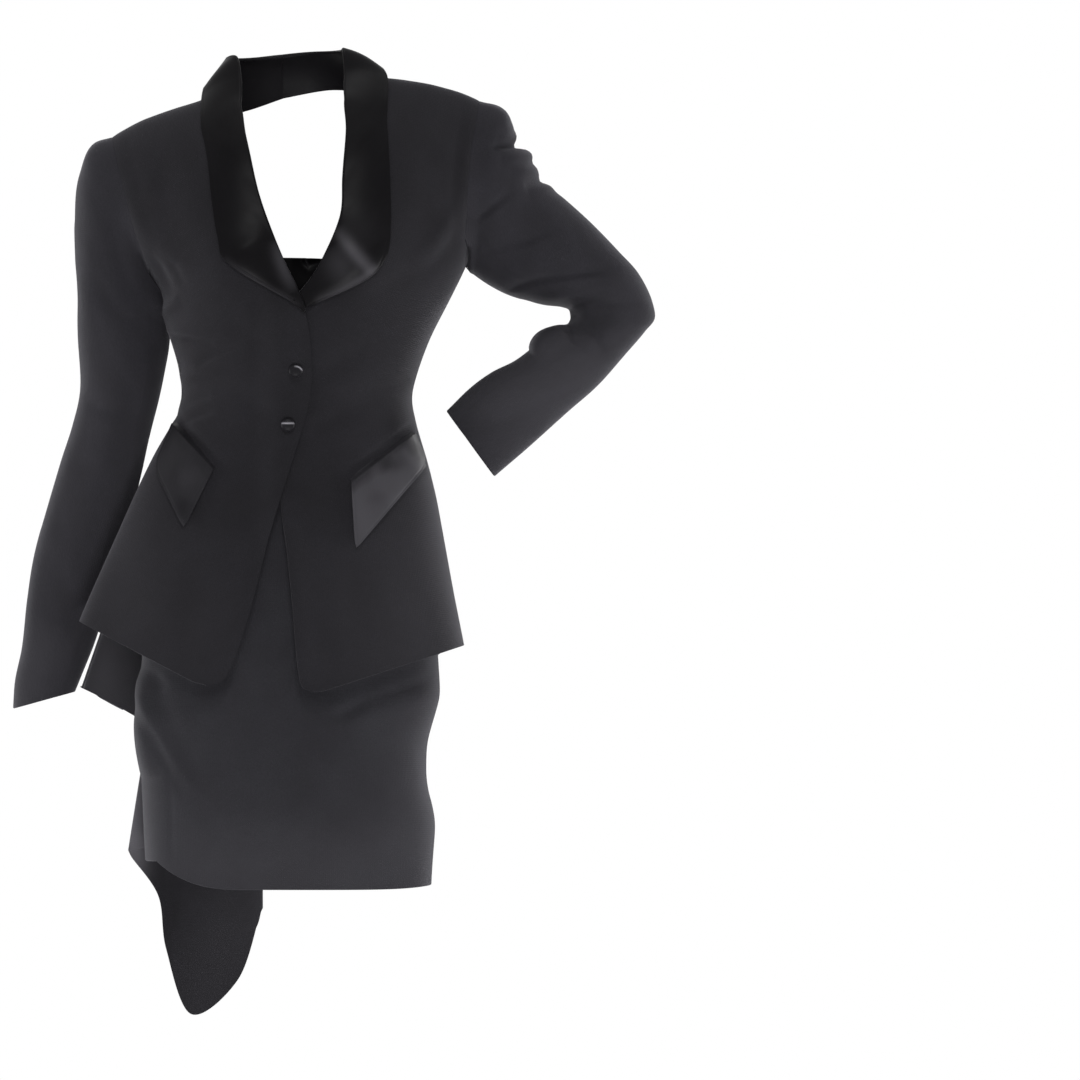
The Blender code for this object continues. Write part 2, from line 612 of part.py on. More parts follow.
def sleeve_form(side, rows, front_rows, back_rows):
    """Points and normals of a whole sleeve: oval rings from the armhole to the open cuff."""
    start = armhole(side, front_rows, back_rows)
    start[:, 0] += side * SLEEVE_CLEARANCE
    low = SLEEVE_POINTS // 2
    middle = (start[0] + start[low]) / 2
    tall = (start[0, 2] - start[low, 2]) / 2
    deep = np.abs(start[:, 1] - middle[1]).max()
    sewn = np.arctan2((middle[1] - start[:, 1]) / deep, (start[:, 2] - middle[2]) / tall)
    sewn[low:] = np.mod(sewn[low:], 2 * math.pi)
    even = np.linspace(0, 2 * math.pi, SLEEVE_POINTS, endpoint=False)
    share = np.clip(np.arange(len(rows)) / SLEEVE_HEAD_ROWS, 0, 1)[:, None]
    turn = sewn + (even - sewn) * share
    outer_x, outer_z, inner_x, inner_z, mid_y, depth = (column[:, None] for column in np.array(rows).T)
    x = (outer_x + inner_x) / 2 + (outer_x - inner_x) / 2 * np.cos(turn)
    z = (outer_z + inner_z) / 2 + (outer_z - inner_z) / 2 * np.cos(turn)
    y = mid_y - depth * np.sin(turn)
    points = np.concatenate([start[None], np.stack([x, y, z], axis=2)])
    normals = facing(points, normals_of(points, closed=True), points.mean(axis=1, keepdims=True))
    radial = (start - start.mean(axis=0)) * [0, 1, 1]
    normals[0] = radial / np.linalg.norm(radial, axis=1, keepdims=True)
    return points, normals


def sleeve(side_name, side, rows, front_rows, back_rows, skin):
    """A two-piece sleeve: the top sleeve and the under sleeve, sewn along the front and the back."""
    points, normals = sleeve_form(side, rows, front_rows, back_rows)
    front_seam, back_seam = SLEEVE_SEAMS
    under = list(range(front_seam, back_seam + 1))
    top = [k % SLEEVE_POINTS for k in range(back_seam, SLEEVE_POINTS + front_seam + 1)]
    for piece_name, columns in (("top", top), ("under", under)):
        panel = points[:, columns].copy()
        for edge, beside in ((0, 1), (-1, -2)):
            inward = panel[:, beside] - panel[:, edge]
            inward /= np.linalg.norm(inward, axis=1, keepdims=True)
            panel[:, edge] += inward * SEAM_GAP / 2
        wall(side_name + "_" + piece_name + "_sleeve", panel, normals[:, columns], WOOL, skin)


def collar(name, side, front_rows, lapel, neck, skin):
    """A collar half: on the front from its points moved out, then round the neck to the back seam."""
    at, start, end = np.array(lapel).T
    panel = row_line(side, front_rows, False, at, LAPEL_SAMPLES)
    if side == WEARER_RIGHT:
        panel[:, :, 1] -= lap_lift(panel[:, :, 0], panel[:, :, 2])
    normals = facing(panel, normals_of(panel), (0, 0, -0.1))
    inner = panel[:, :1]
    outer = panel[:, -1:]
    share = (panel[:, :, 0] - inner[:, :, 0]) / (outer[:, :, 0] - inner[:, :, 0])
    u = np.linspace(0, 1, COLLAR_COLUMNS)
    crown = np.sin(math.pi * u)
    lift = COLLAR_LIFT + COLLAR_SWELL * crown
    lying = np.empty((len(at), COLLAR_COLUMNS, 3))
    for i in range(len(at)):
        reach = start[i] + (end[i] - start[i]) * u
        for k in range(3):
            on_front = np.interp(reach, share[i], panel[i, :, k])
            lying[i, :, k] = on_front + np.interp(reach, share[i], normals[i, :, k]) * lift
    edges = smooth(neck, np.linspace(0, len(neck) - 1, NECK_ROWS))
    roll, fall = edges[:, None, :3], edges[:, None, 3:]
    to_front = np.linspace(1, 0, NECK_ROWS)[:, None, None]
    sideways = np.concatenate([to_front, np.ones((NECK_ROWS, 1, 2))], axis=2)
    swell = np.array([side, 1, 1]) * NECK_SWELL * sideways
    round_neck = roll + (fall - roll) * u[None, :, None] + crown[None, :, None] * swell
    points = np.concatenate([round_neck[::-1], lying])
    grid_normals = facing(points, normals_of(points), (0, 0, -0.05))
    return wall(name, points, grid_normals, SATIN, skin)


def pocket_flap(name, side, corners, skin):
    """A pointed pocket flap that lies on the front."""
    u = np.linspace(0, 1, 6)[None, :]
    v = np.linspace(0, 1, 7)[:, None]
    top_out, top_in, low_in, low_out = (np.array(corner) for corner in corners)
    reach, z = (
        (top_out[k] * (1 - u) + top_in[k] * u) * (1 - v) + (low_out[k] * (1 - u) + low_in[k] * u) * v
        for k in range(2)
    )
    x = side * np.minimum(reach, half_width(side, z, False) * FLAP_REACH)
    points = np.stack([x, form_y(x, z, False), z], axis=2)
    normals = facing(points, normals_of(points), (0, 0, -0.42))
    points = points + normals * (FLAP_LIFT + SATIN)
    return wall(name, points, normals, SATIN, skin)


def button(name, place, skin):
    """A domed button that stands on the right front."""
    x, z = place
    y = float(form_y(x, z, False) - lap_lift(x, z)) - BUTTON_SEAT
    shape = bmesh.new()
    profile = [shape.verts.new((x + radius * BUTTON_RADIUS, y - height * BUTTON_HEIGHT, z))
               for radius, height in BUTTON_PROFILE]
    outline = [shape.edges.new(pair) for pair in zip(profile[:-1], profile[1:])]
    bmesh.ops.spin(shape, geom=profile + outline, cent=(x, y, z), axis=(0, 1, 0),
                   angle=2 * math.pi, steps=BUTTON_STEPS)
    bmesh.ops.remove_doubles(shape, verts=shape.verts, dist=MERGE_DISTANCE)
    bmesh.ops.triangulate(shape, faces=shape.faces)
    bmesh.ops.recalc_face_normals(shape, faces=shape.faces)
    mesh = bpy.data.meshes.new(name)
    shape.to_mesh(mesh)
    shape.free()
    return finished(name, mesh, skin, BUTTON_SHARP_DEGREES)


# ---------------------------------------------------------------- satin back
def ridge(x, z, fold):
    """Height of a soft ridge along a straight line, fading at its two ends."""
    x0, z0, x1, z1, height, wide = fold
    run = np.array([x1 - x0, z1 - z0])
    length = np.linalg.norm(run)
    run = run / length
    along = (x - x0) * run[0] + (z - z0) * run[1]
    off = (x - x0) * run[1] - (z - z0) * run[0]
    fade = FOLD_FADE * length
    ends = np.clip(along / fade, 0, 1) * np.clip((length - along) / fade, 0, 1)
    return height * np.exp(-(off / wide) ** 2) * ends


def clear_back_y(x, z):
    """The back of the form, carried on straight past where it turns to the side."""
    kept = np.clip(x, *BACK_LIMITS)
    return form_y(kept, z, True) - BACK_SLOPE * np.abs(x - kept)


def back_drape(name, skin):
    """The satin between the two backs, gathered to the waist."""
    rows = smooth(DRAPE_ROWS, np.linspace(0, len(DRAPE_ROWS) - 1, DRAPE_GRID[0]))
    u = np.linspace(0, 1, DRAPE_GRID[1])[None, :]
    left_x, left_z, right_x, right_z, left_lift, right_lift = (rows[:, k:k + 1] for k in range(6))
    x = left_x + (right_x - left_x) * u
    z = left_z + (right_z - left_z) * u
    lift = left_lift + (right_lift - left_lift) * np.clip(u / DRAPE_LIFT_SHARE, 0, 1)
    fold = sum(ridge(x, z, row) for row in DRAPE_FOLDS)
    fade = np.clip(u / DRAPE_EDGE_SHARE, 0, 1) * np.clip((1 - u) / DRAPE_EDGE_SHARE, 0, 1)
    y = clear_back_y(x, z) + lift + fold * fade
    points = np.stack([x, y, z], axis=2)
    normals = facing(points, normals_of(points), (0, 0, -0.3))
    return wall(name, points, normals, SATIN, skin)


def loop(name, rows, lip, skin):
    """A bow loop: a flattened tube of satin, open at both ends, whose far end dips at its lip."""
    rings, count = LOOP_GRID
    table = smooth(rows, np.linspace(0, len(rows) - 1, rings))
    turn = np.linspace(0, 2 * math.pi, count, endpoint=False)[None, :]
    one_x, one_z, two_x, two_z, lift, depth = (column[:, None] for column in table.T)
    middle_x = (one_x + two_x) / 2
    x = middle_x + (one_x - two_x) / 2 * np.cos(turn)
    z = (one_z + two_z) / 2 + (one_z - two_z) / 2 * np.cos(turn)
    y = clear_back_y(middle_x + (x - middle_x) * LOOP_FOLLOW, z) + lift + depth * np.sin(turn)
    near_lip = np.clip(2 * np.linspace(0, 1, rings) - 1, 0, 1)[:, None]
    points = np.stack([x, y, z - lip * near_lip * np.sin(turn)], axis=2)
    normals = facing(points, normals_of(points, closed=True), points.mean(axis=1, keepdims=True))
    return wall(name, points, normals, SATIN, skin, closed=True)


def train(name, skin):
    """The cascade below the bow: one sheet of wool folded to and fro, longest in its middle."""
    table = smooth(TRAIN_FOLDS, np.linspace(0, len(TRAIN_FOLDS) - 1, 2 * len(TRAIN_FOLDS) - 1))
    v = np.linspace(0, 1, TRAIN_ROWS)[:, None]
    top_x, hem_x, hem_z, top_lift, hem_lift = (table[None, :, k] for k in range(5))
    z = TRAIN_TOP + (hem_z - TRAIN_TOP) * v
    x = top_x + (hem_x - top_x) * v ** TRAIN_SPREAD
    y = form_y(0.0, z, True) + top_lift + (hem_lift - top_lift) * np.minimum(v * TRAIN_RISE, 1)
    points = np.stack([x, y, z], axis=2)
    return wall(name, points, normals_of(points), TRAIN_WOOL, skin)


# ---------------------------------------------------------------- skirt
def skirt_points(turn_degrees, heights):
    """Points of the skirt's outer face: rings of the skirt table at the given turns and heights.

    Turn 0 is the centre front, 90 the wearer's left and 180 the centre back. The hem rises toward
    the wearer's right.
    """
    turn = np.radians(np.asarray(turn_degrees, dtype=float))[None, :]
    share = np.asarray(heights, dtype=float)[:, None]
    side = np.sin(turn)
    low = SKIRT[-1][0] + HEM_RISE * np.clip(-side - HEM_START, 0, 1) / (1 - HEM_START)
    z = SKIRT_TOP + (low - SKIRT_TOP) * share
    right, left, front, back = (by_height(SKIRT, k, z) for k in range(1, 5))
    middle = (right + left) / 2
    half = (left - right) / 2
    power = 2 / ROUNDNESS
    x = middle + half * np.sign(side) * np.abs(side) ** power
    forward = np.cos(turn)
    depth = np.where(forward > 0, SKIRT_MIDDLE_Y - front, back - SKIRT_MIDDLE_Y)
    y = SKIRT_MIDDLE_Y - np.sign(forward) * depth * np.abs(forward) ** power
    return np.stack([x, y, z], axis=2)


def seam_normals(turn_degrees, heights):
    """Outward normals of the skirt down a seam, shared by the two panels that meet there."""
    beside = skirt_points([turn_degrees - 1, turn_degrees + 1], heights)
    run = beside[:, 1] - beside[:, 0]
    outward = np.stack([run[:, 1], -run[:, 0], np.zeros(len(run))], axis=1)
    return outward / np.linalg.norm(outward, axis=1, keepdims=True)


def skirt_panel(name, start, end, columns, skin):
    """A panel of the skirt between two seams."""
    heights = np.linspace(0, 1, SKIRT_ROWS)
    points = skirt_points(np.linspace(start + SEAM_INSET, end - SEAM_INSET, columns), heights)
    normals = facing(points, normals_of(points), points.mean(axis=(0, 1)) * [0, 0, 1])
    normals[:, 0] = seam_normals(start, heights)
    normals[:, -1] = seam_normals(end, heights)
    return wall(name, points, normals, WOOL, skin)


def waistband(name, skin):
    """The plain band at the top of the skirt, hidden by the jacket."""
    turns = np.linspace(-180, 180, BAND_POINTS, endpoint=False)
    edge = skirt_points(turns, [0.0])[0]
    points = np.stack([edge, edge])
    points[0, :, 2] = BAND_TOP
    points[1, :, 2] = SKIRT_TOP + SEAM_GAP
    normals = facing(points, normals_of(points, closed=True), points.mean(axis=1, keepdims=True))
    return wall(name, points, normals, BAND_WALL, skin, closed=True)


# ---------------------------------------------------------------- the suit
clear_scene()
wool = material("wool", (0.0273, 0.0252, 0.0318), 0.85)
satin = material("satin", (0.0130, 0.0110, 0.0140), 0.32)
horn = material("button", (0.0090, 0.0085, 0.0100), 0.15)

body_panel("right_front", WEARER_RIGHT, RIGHT_FRONT_ROWS, False, wool)
body_panel("left_front", WEARER_LEFT, LEFT_FRONT_ROWS, False, wool)
body_panel("right_back", WEARER_RIGHT, RIGHT_BACK_ROWS, True, wool)
body_panel("left_back", WEARER_LEFT, LEFT_BACK_ROWS, True, wool)
sleeve("right", WEARER_RIGHT, RIGHT_SLEEVE, RIGHT_FRONT_ROWS, RIGHT_BACK_ROWS, wool)
sleeve("left", WEARER_LEFT, LEFT_SLEEVE, LEFT_FRONT_ROWS, LEFT_BACK_ROWS, wool)
collar("right_collar", WEARER_RIGHT, RIGHT_FRONT_ROWS, RIGHT_LAPEL, RIGHT_NECK, satin)
collar("left_collar", WEARER_LEFT, LEFT_FRONT_ROWS, LEFT_LAPEL, LEFT_NECK, satin)
pocket_flap("right_pocket_flap", WEARER_RIGHT, RIGHT_FLAP, satin)
pocket_flap("left_pocket_flap", WEARER_LEFT, LEFT_FLAP, satin)
button("upper_button", BUTTONS[0], horn)
button("lower_button", BUTTONS[1], horn)
back_drape("back_drape", satin)
loop("bow_upper_loop", UPPER_LOOP, LOOP_LIP, satin)
loop("bow_lower_loop", LOWER_LOOP, 0.0, satin)
train("train", wool)
skirt_panel("skirt_front", SKIRT_SEAMS[0], SKIRT_SEAMS[1], 17, wool)
skirt_panel("skirt_left_back", SKIRT_SEAMS[1], SKIRT_SEAMS[2], 7, wool)
skirt_panel("skirt_right_back", SKIRT_SEAMS[2], 360 + SKIRT_SEAMS[0], 10, wool)
waistband("skirt_waistband", wool)
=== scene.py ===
"""Skirt suit, dressed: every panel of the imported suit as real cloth, with its creases, weave and sheen.

A fitted jacket of black wool crepe with a satin shawl collar, pocket flaps, back drape and bow, a
folded train of the crepe below the bow, and a slim skirt. Metres, +Z up. The front faces -Y, and +X
is the wearer's left. The origin is at the base of the neck.
"""
import math

import bmesh
import bpy
import numpy as np
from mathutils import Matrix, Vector


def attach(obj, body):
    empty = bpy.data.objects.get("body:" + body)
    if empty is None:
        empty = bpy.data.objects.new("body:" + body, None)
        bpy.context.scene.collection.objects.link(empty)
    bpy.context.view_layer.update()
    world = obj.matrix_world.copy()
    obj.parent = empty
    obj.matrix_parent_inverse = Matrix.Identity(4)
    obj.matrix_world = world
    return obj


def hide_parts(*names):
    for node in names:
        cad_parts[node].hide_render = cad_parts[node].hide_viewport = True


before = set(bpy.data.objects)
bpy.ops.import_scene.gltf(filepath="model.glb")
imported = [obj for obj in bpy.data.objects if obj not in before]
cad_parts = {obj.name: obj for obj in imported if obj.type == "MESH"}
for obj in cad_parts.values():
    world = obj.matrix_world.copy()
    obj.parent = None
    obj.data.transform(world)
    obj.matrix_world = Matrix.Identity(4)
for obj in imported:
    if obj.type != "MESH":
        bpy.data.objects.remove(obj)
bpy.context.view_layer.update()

# ==================================================================================== studio
# The suit hangs in a white studio, as worn, over a pale floor that is one wearer's height below its
# collar. The camera stands square to the front with a long lens, at the height of the hips.
CAMERA_AWAY = 24.0
# The middle of the view, x and z, and its width.
VIEW_MIDDLE = (0.272, -0.488)
VIEW_WIDTH = 1.199
SENSOR = 36.0
FLOOR_HEIGHT = -1.46
FLOOR_RADIUS = 6.0
# The floor begins to fade this far from its middle, and is white at the second distance.
FLOOR_FADE = (1.2, 4.5)
FLOOR_SIDES = 96
ROOM_LIGHT = 0.20
FAR_CLIP = 100.0
WHITE = (1.0, 1.0, 1.0, 1.0)
# Softboxes: name, place x, y, z, width, height, watts.
SOFTBOXES = [
    ("side_left_box", 3.5, -0.20, -0.90, 0.6, 1.4, 56),
    ("side_right_box", -3.5, -0.20, -0.90, 0.6, 1.4, 52),
    ("above_front_box", 0.1, -1.90, 1.50, 0.5, 0.5, 17),
    ("low_front_box", 0.0, -1.80, -1.30, 0.7, 0.25, 12),
    ("back_left_box", 2.6, 2.60, 0.10, 0.8, 1.1, 38),
    ("back_right_box", -2.6, 2.60, -0.50, 0.8, 1.1, 38),
    ("low_back_box", -0.1, 1.90, -1.30, 0.7, 0.25, 12),
    ("overhead_box", 0.0, 0.40, 2.60, 1.2, 1.2, 16),
]
# The point that every softbox is turned to.
AIM = (0.04, 0.0, -0.50)


def linear(code):
    """An sRGB hex colour as linear red, green, blue and 1: each share is ((c + 0.055) / 1.055) ^ 2.4."""
    shares = np.array([int(code[k:k + 2], 16) for k in (1, 3, 5)]) / 255
    curved = np.where(shares <= 0.04045, shares / 12.92, ((shares + 0.055) / 1.055) ** 2.4)
    return (*curved.tolist(), 1.0)


def feed(tree, node, inputs):
    """Give each input of a node its value, or link it from a socket."""
    for name, value in inputs.items():
        if isinstance(value, bpy.types.NodeSocket):
            tree.links.new(value, node.inputs[name])
        else:
            node.inputs[name].default_value = value


def add(tree, kind, inputs, **settings):
    """A node of one kind: its settings, and each input's value or the socket it is linked from."""
    node = tree.nodes.new("ShaderNode" + kind)
    for name, value in settings.items():
        setattr(node, name, value)
    feed(tree, node, inputs)
    return node


def joined(tree, way, one, other):
    """Two values joined in one way: their sum, their product or the larger of the two."""
    return add(tree, "Math", {0: one, 1: other}, operation=way).outputs[0]


def noise(tree, place, scale, detail, output="Fac", **levels):
    """Cloudy noise of a scale, at a place."""
    inputs = {"Vector": place, "Scale": scale, "Detail": detail, **levels}
    return add(tree, "TexNoise", inputs).outputs[output]


def seen_directly(tree):
    """1 for rays from the camera, a mirror or glass, and 0 for the rays that light the suit."""
    path = add(tree, "LightPath", {}).outputs
    bright = joined(tree, "MAXIMUM", path["Is Camera Ray"], path["Is Glossy Ray"])
    return joined(tree, "MAXIMUM", bright, path["Is Transmission Ray"])


def placed(name, data, spot=(0.0, 0.0, 0.0)):
    """A new object of the scene, at a spot."""
    thing = bpy.data.objects.new(name, data)
    thing.location = spot
    bpy.context.collection.objects.link(thing)
    return thing


def white_room():
    """A world that shows as white and lights the suit at a lower level."""
    world = bpy.data.worlds.new("white_room")
    world.use_nodes = True
    tree = world.node_tree
    level = add(tree, "MapRange", {"Value": seen_directly(tree), "To Min": ROOM_LIGHT, "To Max": 1.0})
    feed(tree, tree.nodes["Background"], {"Color": WHITE, "Strength": level.outputs[0]})
    bpy.context.scene.world = world


def floor():
    """A round pale floor: it keeps the suit's shadow in its middle and fades to white at its edge."""
    turns = np.linspace(0, 2 * math.pi, FLOOR_SIDES, endpoint=False)
    rim = np.stack([np.cos(turns), np.sin(turns)], axis=1) * FLOOR_RADIUS
    mesh = bpy.data.meshes.new("floor")
    mesh.from_pydata([(x, y, FLOOR_HEIGHT) for x, y in rim.tolist()], [], [range(len(rim))])
    paint = bpy.data.materials.new("studio_floor_paint")
    paint.use_nodes = True
    tree = paint.node_tree
    tree.nodes.remove(tree.nodes["Principled BSDF"])
    place = add(tree, "TexCoord", {}).outputs["Object"]
    flat = add(tree, "VectorMath", {0: place, 1: (1, 1, 0)}, operation="MULTIPLY").outputs[0]
    away = add(tree, "VectorMath", {0: flat}, operation="LENGTH").outputs["Value"]
    fade = add(tree, "MapRange", {"Value": away, "From Min": FLOOR_FADE[0], "From Max": FLOOR_FADE[1]},
               interpolation_type="SMOOTHSTEP").outputs[0]
    share = joined(tree, "MULTIPLY", fade, seen_directly(tree))
    matt = add(tree, "BsdfDiffuse", {"Color": linear("#f4f4f4")}).outputs[0]
    glow = add(tree, "Emission", {"Color": WHITE, "Strength": 1.0}).outputs[0]
    both = add(tree, "MixShader", {0: share, 1: matt, 2: glow}).outputs[0]
    feed(tree, tree.nodes["Material Output"], {"Surface": both})
    mesh.materials.append(paint)
    placed("floor", mesh)


def softboxes():
    """Area lamps round the suit, all turned to its middle."""
    for name, x, y, z, width, height, watts in SOFTBOXES:
        lamp = bpy.data.lights.new(name, "AREA")
        lamp.shape = "RECTANGLE"
        lamp.size = width
        lamp.size_y = height
        lamp.energy = watts
        stand = placed(name, lamp, (x, y, z))
        stand.rotation_euler = (Vector(AIM) - stand.location).to_track_quat("-Z", "Y").to_euler()


def camera():
    """A long-lens camera on -Y, level with the middle of its view."""
    lens = bpy.data.cameras.new("camera")
    lens.sensor_width = SENSOR
    lens.lens = SENSOR * CAMERA_AWAY / VIEW_WIDTH
    lens.clip_end = FAR_CLIP
    stand = placed("camera", lens, (VIEW_MIDDLE[0], -CAMERA_AWAY, VIEW_MIDDLE[1]))
    stand.rotation_euler = (math.radians(90), 0.0, 0.0)
    bpy.context.scene.camera = stand


bpy.context.scene.view_settings.view_transform = "Standard"
white_room()
floor()
softboxes()
camera()

# ==================================================================================== fronts and backs
# The jacket's fronts and backs are black wool crepe, cut to the figure, sewn at the shoulders and down
# to the waist, and left open below it as four loose tails. The right front laps over the left one.
WEARER_RIGHT = -1
WEARER_LEFT = 1
# The cloth's wall: the crepe's thickness, how far an edge stops short at a seam, the gap between two
# pieces there, how far a rim's shading tilts, the most of a grid's cell that a rim takes, how near two
# points are one point, and the least share of its flat box that a shaped piece fills.
CREPE_THICK = 0.0020
SEAM_ROUND = 0.00025
SEAM_GAP = 0.0003
RIM_TILT = 0.2
RIM_MOST = 0.45
SAME_PLACE = 0.000005
AREA_LEAST = 0.31
# How far the right front stands off the left one, and where that begins and how long it takes: from
# the side, from the top and from below.
LAP = 0.0045
LAP_SIDE = (-0.045, 0.030)
LAP_TOP = (-0.195, 0.03)
LAP_LOW = (-0.56, 0.10)
# The form's shoulder: y of its seam, how far below it the form is full, how square its section is, how
# far its table is blurred, and the rows of a panel that follow the seam's curve and the armhole.
SHOULDER_Y = 0.006
SHOULDER_DROP = 0.13
SHOULDER_ROUNDNESS = 2.2
SHOULDER_BLUR = 0.006
SHOULDER_ROWS = 3
ARMHOLE_ROWS = 7
# How square the form's sections are, and how far its tables are blurred: the steps to a blur's width,
# its reach in widths, and the steps to spare beyond it.
ROUNDNESS = 2.4
FORM_BLUR = 0.010
BLUR_STEPS = 8
BLUR_REACH = 3
BLUR_SPARE = 6
# How far the pad fills each armhole's seam out, and how far in from the seam that reaches.
SEAM_FILL = {WEARER_RIGHT: 0.0040, WEARER_LEFT: 0.0070}
SEAM_FILL_REACH = 0.018
# The left front's free edge stands off by this much, over this width, from this height on.
TAIL_LIFT = (0.0055, 0.020)
TAIL_TOP = (-0.440, 0.050)
# The points that a panel's and a shoulder's normals are turned away from.
CHEST_MIDDLE = (0, 0, -0.3)
SHOULDER_MIDDLE = (0, 0, -0.1)
# The points measured for each one kept on a smooth curve, and the least step and length divided by.
FINE_STEPS = 12
LEAST_STEP = 1e-9
TINY = 1e-12
# The steps of a crease's line and how soon it dies away, and the waves of cloth that hangs unevenly:
# how many, and the least and the most of their lengths, as shares of a reach.
CREASE_STEPS = 49
CREASE_FADE = 0.7
WAVES = 4
WAVE_LENGTHS = (0.7, 1.6)
# The reach and height of a panel's waves, the first panel's seed, and how level the edges stay.
PANEL_WAVES = (0.11, 0.0007)
PANEL_SEED = 11
LEVEL_EDGE = 0.35
# The form is at least this many times as wide as a panel's edge lies out.
WIDTH_LEAST = 1.0001
# A panel's grid: rows crowded toward the shoulder over the first rows of its table, then even ones.
CROWDED_TO = 2.0
CROWDED_ROWS = 22
EVEN_ROWS = 132
PANEL_COLUMNS = 66
# The crepe: the wave pattern's bands to a metre, its yarn, the length and width of the yarn's
# wandering, the size of its cloudy patches, and the pale colour that painted light mixes in, on the
# crepe and the satin alike.
WAVE_BANDS = math.tau / 20
CREPE_YARN = 0.0022
CREPE_BEND = (0.004, 0.0012)
CREPE_CLOUD = 0.07
PAINTED_LIGHT_HEX = "#77757b"


def metres(*rows):
    """Rows written in millimetres, and shares written in thousandths, as metres and shares."""
    return [tuple(value / 1000 for value in row) for row in rows]


# Depth of the figure's form on its centre line: height, front y, back y.
DEPTH = metres(
    (60, -45, 55), (0, -66, 78), (-50, -88, 98), (-100, -105, 106), (-150, -118, 108), (-190, -124, 106),
    (-234, -122, 100), (-290, -110, 91), (-330, -98.5, 88), (-370, -99, 93), (-410, -105, 105),
    (-480, -113, 124), (-560, -119, 137), (-660, -125, 143), (-800, -128, 146))
# Half width of the form and the y of its side: height, front width, front y, back width, back y.
RIGHT_SIDE = metres(
    (60, 245, 6, 250, 6), (-40, 235, 6, 240, 6), (-100, 210, 6, 216, 6), (-150, 190, 7, 196, 7),
    (-190, 168, 8, 171, 8), (-214, 151, 10, 151, 10), (-255, 142, 12, 142, 12), (-292, 130, 12, 130, 12),
    (-325, 124.5, 12, 124.5, 12), (-350, 131, 11, 129, 13), (-390, 155, -4, 147, 26),
    (-430, 174, -26, 165, 54), (-480, 196, -42, 184, 75), (-543, 224, -50, 202, 81),
    (-580, 240, -52, 214, 83), (-655, 262, -54, 240, 85), (-800, 300, -54, 290, 85))
LEFT_SIDE = metres(
    (60, 250, 6, 255, 6), (0, 240, 6, 245, 6), (-50, 225, 6, 230, 6), (-100, 211, 6, 215, 6),
    (-150, 200, 8, 202, 8), (-185, 190, 10, 190, 10), (-225, 170, 12, 170, 12), (-262, 150.5, 12, 150.5, 12),
    (-295, 138, 12, 138, 12), (-330, 128, 12, 128, 12), (-365, 136, 11, 136, 13), (-400, 147, 8, 146, 16),
    (-440, 157, 3, 152, 22), (-490, 166, 0, 156, 26), (-540, 175, -3, 160, 28), (-605, 188, -6, 162, 30),
    (-660, 198, -6, 166, 32), (-800, 215, -6, 172, 32))
# Height of the shoulder seam by distance from the centre line.
RIGHT_SHOULDER = metres((60, 24), (85, 11), (102, 1), (133, -8.5), (172, -22.5), (200, -38), (220, -55))
LEFT_SHOULDER = metres((60, 32), (80, 28), (92, 26), (117, 23.5), (150, 18), (183, 9), (205, 0), (227.6, -17))
# Fullness over the chest: distance from the centre, height, rise, width, height of the rise.
BUST = (0.083, -0.188, 0.017, 0.050, 0.060)
# Panel edges, row by row: inner distance and height, outer distance and height.
RIGHT_FRONT_ROWS = metres(
    (85, 11, 203, -40), (72, 4, 200, -56), (60, -12, 192, -90), (54.8, -45, 183, -122),
    (44.5, -90, 173, -155), (31.2, -135, 162, -188), (12.2, -180, 151, -214), (-12, -234, 142, -255),
    (-20, -290, 130, -292), (-18, -330, 124.5, -325), (-8, -370, 136, -360), (4.5, -410, 158, -397),
    (25.5, -477, 187, -460), (36.6, -522, 207, -503), (52, -580, 226, -545), (74, -638, 238, -572),
    (98, -652, 240, -578))
LEFT_FRONT_ROWS = metres(
    (80, 28, 205, 0), (66, 18, 202, -18), (57.2, -2, 197, -50), (58.5, -37, 193, -85), (55.5, -89, 191, -120),
    (52, -135, 189, -155), (30, -186, 190, -185), (-6, -236, 170, -225), (-10, -290, 139, -293),
    (-10, -330, 128, -330), (-10, -370, 136, -365), (-13, -410, 147, -400), (-14.4, -450, 157, -440),
    (-7.8, -500, 166, -490), (-2.2, -555, 175, -540), (6, -640, 186.5, -597), (18, -660, 188, -605))
LEFT_BACK_ROWS = metres(
    (80, 28, 205, 0), (88, 18, 204, -18), (90, -4, 201, -50), (84.5, -52.5, 198, -85), (75, -105, 195, -120),
    (60, -145, 191, -155), (48, -172, 190, -185), (43.6, -219, 170, -225), (28, -285, 139, -293),
    (30, -325, 128, -330), (26, -370, 136, -365), (0, -420, 146, -400), (-44, -470, 152, -440),
    (-58, -540, 156, -490), (-64, -620, 160, -540), (-70, -760, 162, -604), (-70, -772, 162.2, -612))
RIGHT_BACK_ROWS = metres(
    (85, 11, 203, -40), (92, 0, 202, -56), (98, -25, 197, -90), (101, -70, 189, -122), (98, -106, 178, -155),
    (88, -132, 164, -188), (60, -168, 151, -214), (78, -215, 142, -255), (84, -270, 130, -292),
    (80, -325, 124.5, -325), (82, -370, 131.5, -355), (88, -420, 145, -385), (100, -475, 165, -430),
    (118, -540, 184, -480), (138, -620, 203, -545), (165, -680, 237.5, -643), (178, -686, 239.5, -651))
